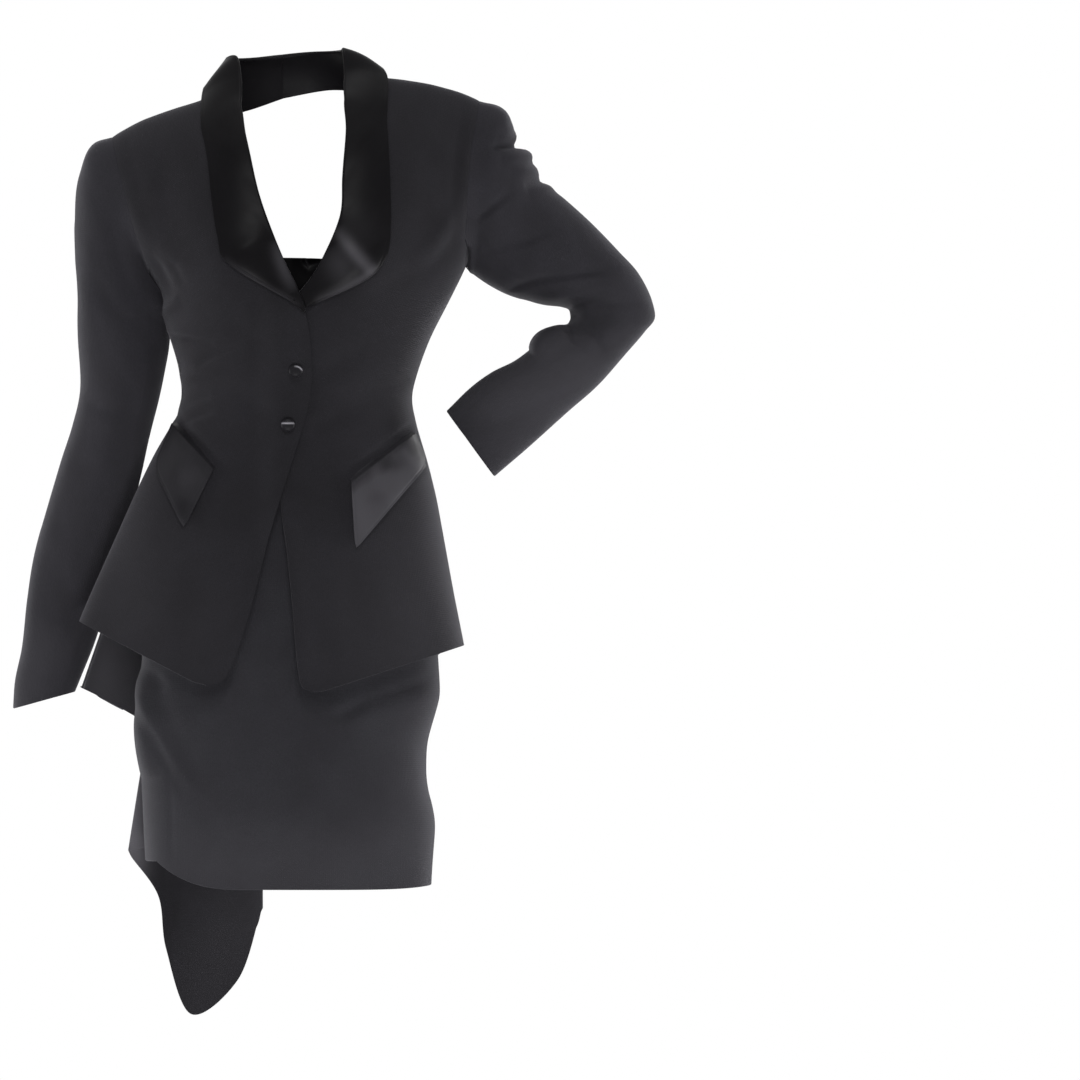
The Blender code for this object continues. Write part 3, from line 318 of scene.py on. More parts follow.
# Creases: start x, z, middle x, z, end x, z, height, and the half width on either side of the line.
RIGHT_FRONT_CREASES = metres(
    (-178, -112, -166, -164, -131, -182, 3, 12, 18), (-152, -162, -122, -178, -108, -212, 1.8, 8, 13),
    (-146, -174, -130, -184, -122, -208, -1.3, 4, 5), (-160, -168, -148, -196, -135, -222, -4.5, 8, 8),
    (-126, -224, -150, -234, -158, -254, 4, 8, 8), (-150, -254, -122, -259, -92, -267, 2.2, 6, 9),
    (-140, -262, -119, -264, -88, -272, -3.6, 4, 6), (-108, -296, -89, -280, -55, -276, -4, 4, 8),
    (-128, -310, -104, -300, -70, -306, 2.2, 6, 8), (-126, -338, -111, -332, -92, -330, -2.6, 5, 6),
    (-128, -356, -111, -350, -88, -345, -3, 5, 6), (-150, -50, -138, -110, -136, -165, -2.2, 14, 18),
    (-80, -240, -45, -272, -14, -288, -1.8, 12, 14), (-70, -324, -40, -345, -16, -352, -1.8, 10, 12),
    (-75, -300, -45, -316, -18, -318, 1.4, 9, 12), (-150, -430, -160, -500, -185, -560, 2, 18, 22),
    (-105, -480, -110, -550, -125, -620, -1.6, 16, 20), (-140, -342, -108, -376, -78, -408, -2.4, 4, 5))
LEFT_FRONT_CREASES = metres(
    (184, -105, 168, -150, 128, -182, 3.6, 8, 12), (186, -140, 165, -180, 135, -200, -2.4, 8, 10),
    (150, -172, 118, -208, 70, -230, -2.2, 12, 13), (14, -304, 55, -292, 96, -266, -2.4, 12, 14),
    (20, -322, 62, -312, 110, -296, 1.8, 10, 12), (10, -366, 48, -354, 92, -330, -2.2, 11, 12),
    (128, -312, 104, -322, 82, -320, -2.2, 7, 9), (150, -50, 152, -100, 140, -150, -1.8, 14, 18),
    (120, -450, 132, -510, 150, -560, 1.8, 16, 20), (60, -500, 66, -570, 78, -640, -1.4, 16, 20),
    (138, -353, 96, -386, 54, -418, -2.4, 4, 5))
LEFT_BACK_CREASES = metres(
    (185, -145, 127, -245, 65, -307, 5, 5.4, 10.8), (127, -245, 89, -282, 58, -305, 3.6, 5.4, 6.8),
    (-45, -460, 12, -551, 80, -590, 5, 10, 14), (-38, -470, -2, -586, 12, -680, -4.8, 9, 12),
    (12, -500, 26, -551, 55, -585, 3.6, 6, 7.5), (-19, -570, -5, -629, 19, -675, 3.6, 6, 7.5))
RIGHT_BACK_CREASES = metres(
    (-198, -139, -173, -183, -148, -220, 4, 5.4, 6.8), (-183, -127, -157, -158, -167, -195, -3.2, 6.8, 6.8),
    (-140, -285, -120, -300, -100, -300, -2.7, 6.8, 8.1))


def linked_rows(rows):
    """Distance along a grid's rows from the first, as the mean distance between neighbouring rows."""
    step = np.linalg.norm(np.diff(rows, axis=0), axis=-1)
    step = step if step.ndim == 1 else step.mean(axis=tuple(range(1, step.ndim)))
    return np.concatenate([[0.0], np.cumsum(np.maximum(step, LEAST_STEP))])


def hermite(rows, knots, at):
    """Rows read at places between knots: h00 p0 + h10 m0 + h01 p1 + h11 m1, with slopes m from neighbours."""
    rows = np.asarray(rows, dtype=float)
    flat = rows.reshape(len(rows), -1)
    knots = np.asarray(knots, dtype=float)
    at = np.clip(np.asarray(at, dtype=float), knots[0], knots[-1])
    slope = np.gradient(flat, knots, axis=0)
    low = np.clip(np.searchsorted(knots, at, side="right") - 1, 0, len(knots) - 2)
    span = (knots[low + 1] - knots[low])[:, None]
    t = (at - knots[low])[:, None] / span
    ease = t * t * (3 - 2 * t)
    between = flat[low] + (flat[low + 1] - flat[low]) * ease
    pull = slope[low] * (t * (1 - t) ** 2) - slope[low + 1] * (t * t * (1 - t))
    return (between + pull * span).reshape(len(at), *rows.shape[1:])


def table_rows(table, at):
    """A table's rows at the row numbers in at, by a smooth curve through them."""
    return hermite(table, np.arange(len(table)), at)


def upright(table):
    """A table's columns, each as a grid of rows one point wide."""
    return [column[:, None] for column in np.array(table).T]


def spread(table, count):
    """count rows read at even places from a table's first row to its last."""
    return table_rows(table, np.linspace(0, len(table) - 1, count))


def through(rows, count):
    """count rows of points on a smooth curve through the given ones, evenly spaced along it."""
    knots = linked_rows(rows)
    fine_at = np.linspace(0, knots[-1], FINE_STEPS * count)
    run = linked_rows(hermite(rows, knots, fine_at))
    return hermite(rows, knots, np.interp(np.linspace(0, run[-1], count), run, fine_at))


def reader(table, blur):
    """A function that reads a table's column at a height: straight between rows, then blurred."""
    rows = np.array(sorted(table))
    step = blur / BLUR_STEPS
    reach = BLUR_REACH * BLUR_STEPS
    kernel = np.exp(-0.5 * (np.arange(-reach, reach + 1) / BLUR_STEPS) ** 2)
    beyond = (reach + BLUR_SPARE) * step
    heights = np.arange(rows[0, 0] - beyond, rows[-1, 0] + beyond, step)
    columns = [np.convolve(np.pad(np.interp(heights, rows[:, 0], rows[:, k]), reach, mode="edge"),
                           kernel / kernel.sum(), mode="valid") for k in range(rows.shape[1])]
    return lambda column, at: np.interp(at, heights, columns[column])


depth_at = reader(DEPTH, FORM_BLUR)
side_at = {WEARER_RIGHT: reader(RIGHT_SIDE, FORM_BLUR), WEARER_LEFT: reader(LEFT_SIDE, FORM_BLUR)}
shoulder_at = {WEARER_RIGHT: reader(RIGHT_SHOULDER, SHOULDER_BLUR),
               WEARER_LEFT: reader(LEFT_SHOULDER, SHOULDER_BLUR)}


def half_width(side, back, z):
    """Half the form's width at a height, in front or behind."""
    return side_at[side](3 if back else 1, z)


def form_y(x, z, back):
    """The y of the figure's form at x and z: side + (depth - side) * across * down.

    across = (1 - (|x| / half width)^n)^(1/n) rounds the form toward its sides, and down rounds it
    over toward the shoulder seam in the same way. The fronts swell at the bust by a bell curve.
    """
    x, z = np.broadcast_arrays(np.asarray(x, dtype=float), np.asarray(z, dtype=float))
    depth = depth_at(2 if back else 1, z)
    result = np.zeros(x.shape)
    for side in (WEARER_RIGHT, WEARER_LEFT):
        width = half_width(side, back, z)
        side_y = side_at[side](4 if back else 2, z)
        across = np.clip(1 - np.minimum(np.abs(x) / width, 1) ** ROUNDNESS, 0, 1) ** (1 / ROUNDNESS)
        below = ramp(shoulder_at[side](1, np.abs(x)) - z, width=SHOULDER_DROP)
        down = np.clip(1 - (1 - below) ** SHOULDER_ROUNDNESS, 0, 1) ** (1 / SHOULDER_ROUNDNESS)
        y = side_y + (depth - side_y) * across * down
        if not back:
            reach, height, rise, wide, tall = BUST
            near = np.exp(-((np.abs(x) - reach) / wide) ** 2 - ((z - height) / tall) ** 2)
            y = y - rise * near * across
        result = np.where((np.sign(x) == side) | ((x == 0) & (side == WEARER_LEFT)), y, result)
    return result


def eased(share):
    """A share from 0 to 1 that starts and ends level: 3 s^2 - 2 s^3."""
    return share * share * (3 - 2 * share)


def ramp(value, start=0.0, width=1.0):
    """A share that grows from 0 at the start to 1 a width further on."""
    return np.clip((value - start) / width, 0, 1)


def swung(one, two, swing):
    """A place between two sizes: their middle at swing 0, the first at 1 and the second at -1."""
    return (one + two) / 2 + (one - two) / 2 * swing


def lap_lift(x, z):
    """How far the right front stands off the left one near the closing."""
    top, reach = LAP_TOP
    return LAP * eased(ramp(x, *LAP_SIDE)) * ramp(top - z, width=reach) * ramp(z, *LAP_LOW)


def on_panel(side, rows, back, at, share=None, columns=0):
    """Points on the form along a panel's rows, at shares of the way from the inner edge to the outer.

    With no share given, the points of a row are evenly spaced by the angle round the form. The
    first rows take up the curve of the shoulder seam, and the edges below the armhole lie on the
    form's side. Beside the armhole the shoulder pad fills the cloth out, front and back.
    """
    inner, z_in, outer, z_out = upright(table_rows(rows, at))
    at = np.asarray(at, dtype=float)[:, None]
    sewn = ramp(at, ARMHOLE_ROWS - 2)
    outer = outer + (half_width(side, back, z_out) - outer) * sewn
    if share is None:
        u = np.linspace(0, 1, columns)[None, :]
        width = np.maximum(half_width(side, back, (z_in + z_out) / 2), outer * WIDTH_LEAST)
        power = ROUNDNESS / 2
        start = np.sign(inner) * np.arcsin((np.abs(inner) / width) ** power)
        end = np.arcsin((outer / width) ** power)
        turn = start + (end - start) * u
        reach = width * np.sign(turn) * np.abs(np.sin(turn)) ** (1 / power)
        share = (reach - inner) / (outer - inner)
    reach = inner + (outer - inner) * share
    z = z_in + (z_out - z_in) * share
    first = rows[0]
    straight = first[1] + (first[3] - first[1]) * (reach - first[0]) / (first[2] - first[0])
    z = z + (shoulder_at[side](1, np.abs(reach)) - straight) * np.clip(1 - at / SHOULDER_ROWS, 0, 1)
    y = form_y(side * reach, z, back)
    y = np.where(at <= 0, SHOULDER_Y + (-SEAM_GAP if back else SEAM_GAP), y)
    beside = np.clip(1 - (1 - share) * (outer - inner) / SEAM_FILL_REACH, 0, 1)
    last = ARMHOLE_ROWS - 1
    fill = eased(beside) * np.clip(4 * at * (last - at) / last ** 2, 0, 1)
    y = y + (1 if back else -1) * SEAM_FILL[side] * fill
    if side == WEARER_RIGHT and not back:
        y = y - lap_lift(side * reach, z)
    return np.stack([side * reach, y, z], axis=2)


def unit(vectors):
    """The vectors, each brought to a length of 1."""
    return vectors / np.maximum(np.linalg.norm(vectors, axis=-1, keepdims=True), TINY)


def normals_of(points, closed=False):
    """Unit normals of a grid, square to its slopes along and across, turned away from its middle."""
    if closed:
        wide = np.concatenate([points[:, -1:], points, points[:, :1]], axis=1)
        across = wide[:, 2:] - wide[:, :-2]
    else:
        across = np.gradient(points, axis=1)
    return unit(np.cross(across, np.gradient(points, axis=0)))


def facing(normals, points, centre):
    """The normals, turned round as one if on the whole they point toward centre."""
    return normals if np.sum(normals * (points - np.asarray(centre))) > 0 else -normals


def outward(points, centre=None):
    """Unit normals of a grid, away from a centre, or of a closed tube, away from its rings' middles."""
    if centre is None:
        return facing(normals_of(points, closed=True), points, points.mean(axis=1, keepdims=True))
    return facing(normals_of(points), points, centre)


def raised(points, normals, height, centre=None):
    """A grid moved out by height along its normals, and its own normals after that."""
    points = points + normals * height[:, :, None]
    return points, outward(points, centre)


def creases(x, z, rows):
    """Heights of soft ridges and troughs along bent lines, seen square on.

    Each line is the curve (1-t)^2 a + 2t(1-t) b + t^2 c. Across it the height falls off as a bell,
    with its own half width on each side, and along it as sin(pi t)^0.7, so that it dies away.
    """
    result = np.zeros(np.shape(x))
    t = np.linspace(0, 1, CREASE_STEPS)
    for ax, az, bx, bz, cx, cz, height, one_side, other_side in rows:
        line_x = (1 - t) ** 2 * ax + 2 * t * (1 - t) * bx + t ** 2 * cx
        line_z = (1 - t) ** 2 * az + 2 * t * (1 - t) * bz + t ** 2 * cz
        run_x, run_z = np.diff(line_x), np.diff(line_z)
        length = np.hypot(run_x, run_z)
        off_x = np.asarray(x)[..., None] - line_x[:-1]
        off_z = np.asarray(z)[..., None] - line_z[:-1]
        along = np.clip((off_x * run_x + off_z * run_z) / length ** 2, 0, 1)
        away = np.hypot(off_x - along * run_x, off_z - along * run_z)
        nearest = np.argmin(away, axis=-1)[..., None]
        distance = np.take_along_axis(away, nearest, axis=-1)[..., 0]
        turn = np.take_along_axis(off_x * run_z - off_z * run_x, nearest, axis=-1)[..., 0]
        place = (nearest[..., 0] + np.take_along_axis(along, nearest, axis=-1)[..., 0]) / len(length)
        half = np.where(turn > 0, one_side, other_side)
        along = np.sin(math.pi * np.clip(place, 0, 1)) ** CREASE_FADE
        result += height * np.exp(-(distance / half) ** 2) * along
    return result


def round_creases(x, z, normals, in_front, behind):
    """Creases on the front and on the back of a round piece, and how far each point faces the front."""
    toward_front = np.clip(0.5 - normals[:, :, 1], 0, 1)
    return creases(x, z, in_front) * toward_front + creases(x, z, behind) * (1 - toward_front), toward_front


def rounded(x, z, corners):
    """Sizes x and z with sharp corners pulled in, the shift fading as a bell away from each corner."""
    for corner_x, corner_z, shift_x, shift_z, reach in corners:
        near = np.exp(-((x - corner_x) ** 2 + (z - corner_z) ** 2) / reach ** 2)
        x, z = x + shift_x * near, z + shift_z * near
    return x, z


def unevenness(x, z, seed, reach, height):
    """A gentle waviness: the sum of four sine waves of unlike lengths and directions."""
    result = np.zeros(np.shape(x))
    chance = np.random.default_rng(seed)
    for turn, length, shift in zip(chance.uniform(0, math.pi, WAVES),
                                   chance.uniform(*WAVE_LENGTHS, WAVES) * reach,
                                   chance.uniform(0, 2 * math.pi, WAVES)):
        along = x * math.cos(turn) + z * math.sin(turn)
        result += np.sin(2 * math.pi * along / length + shift)
    return result * height / WAVES


def grid_faces(rows, columns):
    """The point numbers of a grid, and the four corners of each of its cells."""
    grid = np.arange(rows * columns).reshape(rows, columns)
    cells = np.stack([grid[:-1, :-1], grid[:-1, 1:], grid[1:, 1:], grid[1:, :-1]], axis=-1)
    return grid, cells.reshape(-1, 4)


def stitching(away, stitch):
    """How deep a line of stitches draws the cloth in, by the distance from the edge it follows."""
    inset, wide, deep = stitch
    return deep * np.exp(-((away - inset) / wide) ** 2)


def store_painted_light(mesh, painted_light):
    """Keep on the points of a mesh how much paler each is painted to stand in for light, as the attribute
    painted_light.
    """
    mesh.attributes.new("painted_light", "FLOAT", "POINT").data.foreach_set("value", painted_light)


def cloth(name, outer, normals, thickness, skin, closed=False, sewn="", painted_light=None, inside=None,
          shading=None):
    """A wall of cloth with rounded edges, and its flat width, length and area.

    The outer face is the grid given and the inner face lies one thickness in along the normals.
    Along each edge both faces stop short, and points midway between them, on the edge itself, round
    it off: by half a thickness at a turned edge, and by a hair at a sewn one. sewn names the edges
    that are seams, by the letters t, b, l and r for the first and last row and column. The shading
    follows the grid's own slopes right up to an edge, so a seam shows as no more than a fine line.
    The UV map "cut" runs in metres along the rows and the columns. painted_light is how much paler
    the outer face is painted at each point, from 0 to 1, to stand in for light and shade, and inside is
    the same for the inner face.
    shading, if given, stands for the grid's own slopes.
    """
    painted_light = outer[:, :, 0] * 0 if painted_light is None else np.clip(painted_light, 0, 1)
    inside = painted_light if inside is None else np.clip(inside, 0, 1)
    if closed:
        outer, normals, painted_light, inside = (np.concatenate([grid, grid[:, :1]], axis=1)
                                         for grid in (outer, normals, painted_light, inside))
    rows, columns = outer.shape[:2]
    middle = outer - normals * thickness / 2
    shading = normals_of(outer) if shading is None else shading
    shading = shading * np.sign(np.sum(shading * normals))
    inset = np.zeros_like(outer)
    aside = shading * RIM_TILT
    edges = [("t", (0,), (1,)), ("b", (-1,), (-2,))]
    if not closed:
        edges += [("l", (slice(None), 0), (slice(None), 1)), ("r", (slice(None), -1), (slice(None), -2))]
    for letter, edge, beside in edges:
        step = middle[beside] - middle[edge]
        length = np.maximum(np.linalg.norm(step, axis=-1, keepdims=True), LEAST_STEP)
        short = SEAM_ROUND if letter in sewn else thickness / 2
        inset[edge] += step / length * np.minimum(short, RIM_MOST * length)
        aside[edge] -= step / length * (letter not in sewn)
    grid, quads = grid_faces(rows, columns)
    if closed:
        edge_lines = [grid[0], grid[-1][::-1]]
    else:
        edge_lines = [np.concatenate([grid[0], grid[1:, -1], grid[-1, -2::-1], grid[-2::-1, 0]])]
    size = rows * columns
    faces = [quads, quads[:, ::-1] + size]
    points = [(outer + inset).reshape(-1, 3), (middle * 2 - outer + inset).reshape(-1, 3)]
    charts = np.arange(size)
    chart_of = [charts, charts]
    start = 2 * size
    for line in edge_lines:
        rim = start + np.arange(len(line))
        if not closed:
            rim[-1] = start
        faces.append(np.stack([line[1:], line[:-1], rim[:-1], rim[1:]], axis=1))
        faces.append(np.stack([rim[1:], rim[:-1], size + line[:-1], size + line[1:]], axis=1))
        kept = line if closed else line[:-1]
        points.append(middle.reshape(-1, 3)[kept])
        chart_of.append(kept)
        start += len(kept)
    faces = np.concatenate(faces)
    points = np.concatenate(points)
    a, b, c = (points[quads[:, k]] for k in range(3))
    if np.sum(np.cross(b - a, c - a) * normals[:-1, :-1].reshape(-1, 3)) < 0:
        faces = faces[:, ::-1]
    mesh = bpy.data.meshes.new(name + "_cloth")
    mesh.from_pydata(points.tolist(), [], faces.tolist())
    wide = np.linalg.norm(np.diff(middle, axis=1), axis=2)
    long = np.linalg.norm(np.diff(middle, axis=0), axis=2)
    u = np.concatenate([np.zeros((rows, 1)), np.cumsum(wide, axis=1)], axis=1)
    v = np.concatenate([np.zeros((1, columns)), np.cumsum(long, axis=0)], axis=0)
    chart = np.stack([u - u[:, columns // 2:columns // 2 + 1], -v], axis=-1).reshape(-1, 2)
    chart = chart[np.concatenate(chart_of)]
    at_rim = painted_light.ravel()[np.concatenate(chart_of[2:])]
    store_painted_light(mesh, np.concatenate([painted_light.ravel(), inside.ravel(), at_rim]))
    corners = np.zeros(len(mesh.loops), dtype=np.int32)
    mesh.loops.foreach_get("vertex_index", corners)
    layer = mesh.uv_layers.new(name="cut")
    layer.data.foreach_set("uv", chart[corners].ravel())
    mesh.shade_smooth()
    if closed:
        merge(mesh)
    else:
        flat = shading.reshape(-1, 3)
        facets = unit(np.concatenate([flat, -flat, aside.reshape(-1, 3)[kept]]))
        mesh.normals_split_custom_set_from_vertices(facets.tolist())
    mesh.materials.append(skin)
    a, b, c, d = (middle[:-1, :-1], middle[:-1, 1:], middle[1:, 1:], middle[1:, :-1])
    area = np.linalg.norm(np.cross(c - a, d - b), axis=2).sum() / 2
    return placed(name + "_cloth", mesh), (float(u[:, -1].max()), float(v[-1].max())), float(area)


def merge(mesh):
    """Join the points of a mesh that lie in one place, where a closed grid meets itself."""
    shape = bmesh.new()
    shape.from_mesh(mesh)
    bmesh.ops.remove_doubles(shape, verts=shape.verts, dist=SAME_PLACE)
    shape.to_mesh(mesh)
    shape.free()


def sew(made, node):
    """Put a sheet of cloth in its node's place and hide the imported part it stands for."""
    piece, flat, area = made
    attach(piece, "root")
    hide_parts(node)
    area = min(max(area, AREA_LEAST * flat[0] * flat[1]), flat[0] * flat[1])


def new_skin(name):
    """A material with an empty shader, and its tree."""
    skin = bpy.data.materials.new(name)
    skin.use_nodes = True
    return skin, skin.node_tree


def finish_skin(tree, dye, shade, pale, relief, strength, distance, levels):
    """Dye a skin between two tones by shade, paler where the mesh carries painted light, and raise its
    relief.
    """
    low, high = dye
    colour = add(tree, "Mix", {0: shade, 6: linear(low), 7: linear(high)}, data_type="RGBA").outputs[2]
    painted_light = add(tree, "Attribute", {}, attribute_name="painted_light").outputs["Fac"]
    colour = add(tree, "Mix", {0: painted_light, 6: colour, 7: linear(pale)}, data_type="RGBA").outputs[2]
    bump = add(tree, "Bump", {"Height": relief, "Strength": strength, "Distance": distance}).outputs[0]
    feed(tree, tree.nodes["Principled BSDF"], {"Base Color": colour, "Normal": bump, **levels})


def crepe(name, low, high):
    """Wool crepe: twisted yarns in a plain weave, so the surface is pebbled, matt and softly napped.

    The yarn is 0.3 mm thick in the real cloth and is drawn at 2.2 mm, so that it shows. The nap
    gives a pale sheen where the cloth turns away, and where the mesh carries painted light the
    colour is painted paler.
    """
    skin, tree = new_skin(name)
    cut = add(tree, "UVMap", {}, uv_map="cut").outputs[0]
    length, width = CREPE_BEND
    bent = noise(tree, cut, 1 / length, 2.0, output="Color")
    wander = add(tree, "VectorMath", {0: bent, 1: (width, width, 0.0)}, operation="MULTIPLY").outputs[0]
    woven = add(tree, "VectorMath", {0: cut, 1: wander}, operation="ADD").outputs[0]
    bands = {"Vector": woven, "Scale": WAVE_BANDS / CREPE_YARN, "Distortion": 1.5, "Detail": 1.0}
    yarns = [add(tree, "TexWave", bands, bands_direction=way).outputs["Fac"] for way in ("X", "Y")]
    weave = joined(tree, "MULTIPLY", *yarns)
    pebble = noise(tree, cut, 1 / CREPE_YARN, 3.0, Roughness=0.65)
    grain = joined(tree, "ADD", weave, pebble)
    cloud = noise(tree, cut, 1 / CREPE_CLOUD, 3.0)
    tone = joined(tree, "MULTIPLY", cloud, pebble)
    shade = add(tree, "MapRange", {"Value": tone, "From Min": 0.12, "From Max": 0.42}).outputs[0]
    finish_skin(tree, (low, high), shade, PAINTED_LIGHT_HEX, grain, strength=0.4, distance=0.0004, levels={
        "Roughness": 0.88, "Specular IOR Level": 0.12, "Sheen Weight": 0.18, "Sheen Roughness": 0.45,
        "Sheen Tint": linear("#e8e6f0")})
    return skin


crepe_skin = crepe("black_wool_crepe", "#1f1e21", "#262529")
# The fronts' hem corners: x and z, shift in x and z, and how far the rounding reaches.
HEM_CORNERS = metres((-98, -652, 0.6, 3.4, 10), (18, -660, 1.4, 4, 9))
# Painted light on the fronts and backs: the tails paler toward the sides, and the tails' insides
# paler where they lie in shade. These rows are read as creases are, and their height is the share of the pale
# colour.
FRONT_PAINTED_LIGHT = metres(
    (-165, -400, -190, -540, -180, -680, 52, 55, 55), (145, -380, 150, -520, 140, -700, 58, 50, 50),
    (60, -480, 70, -570, 80, -700, 26, 50, 50), (-80, -520, -95, -590, -105, -680, 20, 40, 40))
BACK_PAINTED_LIGHT = metres(
    (120, -480, 120, -580, 90, -720, 35, 60, 60), (-150, -440, -190, -560, -225, -700, 48, 50, 50))
BACK_INSIDE_PAINTED_LIGHT = metres((-250, -560, -220, -640, -140, -720, 340, 60, 90))
PANEL_ROWS = np.concatenate([CROWDED_TO * np.linspace(0, 1, CROWDED_ROWS) ** 2,
                             np.linspace(CROWDED_TO, len(RIGHT_FRONT_ROWS) - 1, EVEN_ROWS)[1:]])
PANELS = [
    ("right_front", WEARER_RIGHT, RIGHT_FRONT_ROWS, False, RIGHT_FRONT_CREASES, "tlr",
     ["right_back", "left_front"]),
    ("left_front", WEARER_LEFT, LEFT_FRONT_ROWS, False, LEFT_FRONT_CREASES, "tr", ["left_back"]),
    ("right_back", WEARER_RIGHT, RIGHT_BACK_ROWS, True, RIGHT_BACK_CREASES, "tr",
     ["right_front", "left_back"]),
    ("left_back", WEARER_LEFT, LEFT_BACK_ROWS, True, LEFT_BACK_CREASES, "tr", ["left_front"]),
]
for seed, (name, side, rows, back, folds, seams, neighbours) in enumerate(PANELS, PANEL_SEED):
    points = on_panel(side, rows, back, PANEL_ROWS, columns=PANEL_COLUMNS)
    normals = outward(points, CHEST_MIDDLE)
    x, z = points[:, :, 0], points[:, :, 2]
    edge = np.sin(math.pi * np.linspace(0, 1, points.shape[1]))[None, :] ** LEVEL_EDGE
    height = creases(x, z, folds) + unevenness(x, z, seed, *PANEL_WAVES) * edge
    points = points + normals * height[:, :, None]
    if not back:
        points[:, :, 0], points[:, :, 2] = rounded(points[:, :, 0], points[:, :, 2], HEM_CORNERS)
    normals = outward(points, CHEST_MIDDLE)
    normals[0] = (0, 0, 1)
    normals[PANEL_ROWS >= ARMHOLE_ROWS - 1, -1] = (side, 0, 0)
    if name == "left_front":
        lift, wide = TAIL_LIFT
        top, reach = TAIL_TOP
        away = (points[:, :, 0] - points[:, :1, 0]) / wide
        points[:, :, 1] -= lift * np.exp(-away ** 2) * ramp(top - points[:, :, 2], width=reach)
    for seam in ((0, slice(None), 1), (PANEL_ROWS >= ARMHOLE_ROWS - 1, -1, 1)):
        points[seam] += SEAM_GAP if back else -SEAM_GAP
    # Painted light on the panel's outer and inner faces, where the lamps leave it darker.
    outside_rows, inside_rows = (BACK_PAINTED_LIGHT, BACK_INSIDE_PAINTED_LIGHT) if back else (FRONT_PAINTED_LIGHT, FRONT_PAINTED_LIGHT)
    painted_light, inside = (creases(points[:, :, 0], points[:, :, 2], rows) for rows in (outside_rows, inside_rows))
    made = cloth(name, points, normals, CREPE_THICK, crepe_skin, sewn=seams, painted_light=painted_light, inside=inside)
    sew(made, name)

# ==================================================================================== sleeves
# Each sleeve is cut in two pieces of the crepe, a top and an under sleeve, and its head is eased into
# the armhole. The right one hangs at the side. The left one is bent, and folds inside the elbow.
SLEEVE_ROUND = 98
SLEEVE_ALONG = 180
SLEEVE_SEAMS = (35, 70)
SLEEVE_HEAD_ROWS = 4
# The seat of the head at the armhole, how far its seam allowance turns inward and down, the bend
# between the two as a share and a depth, and how many rings they take.
SLEEVE_SEAT = 0.0004
SLEEVE_TUCK = (0.0045, 0.0030)
TUCK_BEND = (0.35, 0.0002)
TUCK_RINGS = 2
SLEEVE_SLOPE_SHARES = [[0.93, 0.96, 0.99]]
SLEEVE_WAVES = (23, 0.13, 0.0010)
SLEEVE_PLAIN_RINGS = 8
# Over these rings from the armhole the shading runs from the body's slopes to the sleeve's own.
SEAT_RINGS = 14
# Ovals of a sleeve: outer edge x, z, inner edge x, z, middle y, half depth.
RIGHT_SLEEVE = metres(
    (-221, -46, -149, -222, 8, 62), (-239, -82, -144, -235, 10, 60), (-245, -140, -139, -253, 12, 56),
    (-244, -200, -140, -273, 15, 53), (-242, -260, -145, -300, 18, 50), (-239, -322, -152.2, -334, 22, 47),
    (-247, -360, -161, -370, 25, 45), (-261, -402, -170, -412, 26, 44), (-277, -455, -182, -460, 24, 43),
    (-290, -505, -195, -508, 20, 41), (-297.5, -555, -208, -555, 15, 39), (-304, -610, -223, -604, 10, 37),
    (-311.5, -645, -235, -633, 5, 35), (-313.5, -675, -245, -657, 2, 34))
LEFT_SLEEVE = metres(
    (225, -10, 193.5, -189, 6, 60), (242, -31, 199, -193, 10, 59), (256, -57, 207, -199, 15, 57),
    (272, -87, 219, -207, 22, 55), (301, -111, 236, -216, 30, 53), (331, -137, 257, -223, 40, 51),
    (360, -166, 278, -227.5, 50, 50), (383.5, -193, 296, -229, 57, 49), (397, -222, 305.5, -233, 60, 48),
    (400, -241, 306.5, -241, 58, 48), (389, -256, 302, -248.5, 52, 47), (364, -284, 287, -256, 42, 46),
    (334, -318, 268, -270, 28, 45), (303, -346, 244, -289, 12, 43), (271, -374, 217, -303, -6, 41),
    (242, -400, 191, -322, -24, 39), (222, -418, 168, -345, -36, 38))
RIGHT_SLEEVE_FRONT_CREASES = metres(
    (-158, -172, -138, -212, -158, -240, 13, 10, 10), (-205, -120, -190, -180, -176, -236, -2.7, 10.8, 13.5),
    (-228, -190, -205, -230, -165, -262, -2.6, 10.8, 10.8),
    (-236, -330, -205, -352, -168, -348, -3.1, 9.5, 12.1),
    (-180, -390, -212, -412, -252, -404, -2.4, 10.8, 12.1),
    (-276, -470, -250, -520, -218, -560, 2, 13.5, 16.2))
RIGHT_SLEEVE_BACK_CREASES = metres(
    (-243, -133, -224, -195, -200, -245, 4.8, 5.4, 10.8),
    (-251, -183, -241, -233, -210, -282, -3.1, 8.1, 9.5),
    (-160, -300, -190, -330, -236, -334, -3.1, 8.1, 10.8),
    (-170, -370, -205, -392, -250, -384, -2.7, 8.1, 12.1),
    (-262, -470, -236, -510, -205, -530, 2, 12.1, 16.2))
LEFT_SLEEVE_FRONT_CREASES = metres(
    (194, -142, 218, -120, 244, -102, -3.2, 2.6, 6), (208, -168, 250, -164, 300, -138, -2.6, 4, 10),
    (232, -188, 272, -184, 316, -164, 1.2, 8, 12), (234, -212, 288, -196, 362, -188, -4.4, 2.6, 8),
    (262, -226, 312, -208, 372, -204, 1.2, 6, 9), (292, -230, 338, -224, 392, -228, -2, 3, 6),
    (296, -254, 308, -268, 324, -280, -2, 2.8, 5), (318, -246, 332, -262, 342, -278, -2, 3, 5),
    (204, -342, 232, -350, 266, -374, -1.8, 6, 12), (186, -366, 214, -372, 244, -392, 1.4, 8, 12))
LEFT_SLEEVE_BACK_CREASES = metres(
    (200, -140, 225, -116, 256, -92, -3.4, 5, 10), (218, -180, 268, -164, 326, -162, -3.4, 5, 12),
    (250, -222, 308, -210, 368, -210, -4, 5, 10), (280, -240, 318, -232, 360, -240, 2.2, 7, 9),
    (278, -262, 318, -262, 354, -282, -3.4, 5, 9), (212, -336, 246, -342, 290, -336, -2.2, 7, 10))
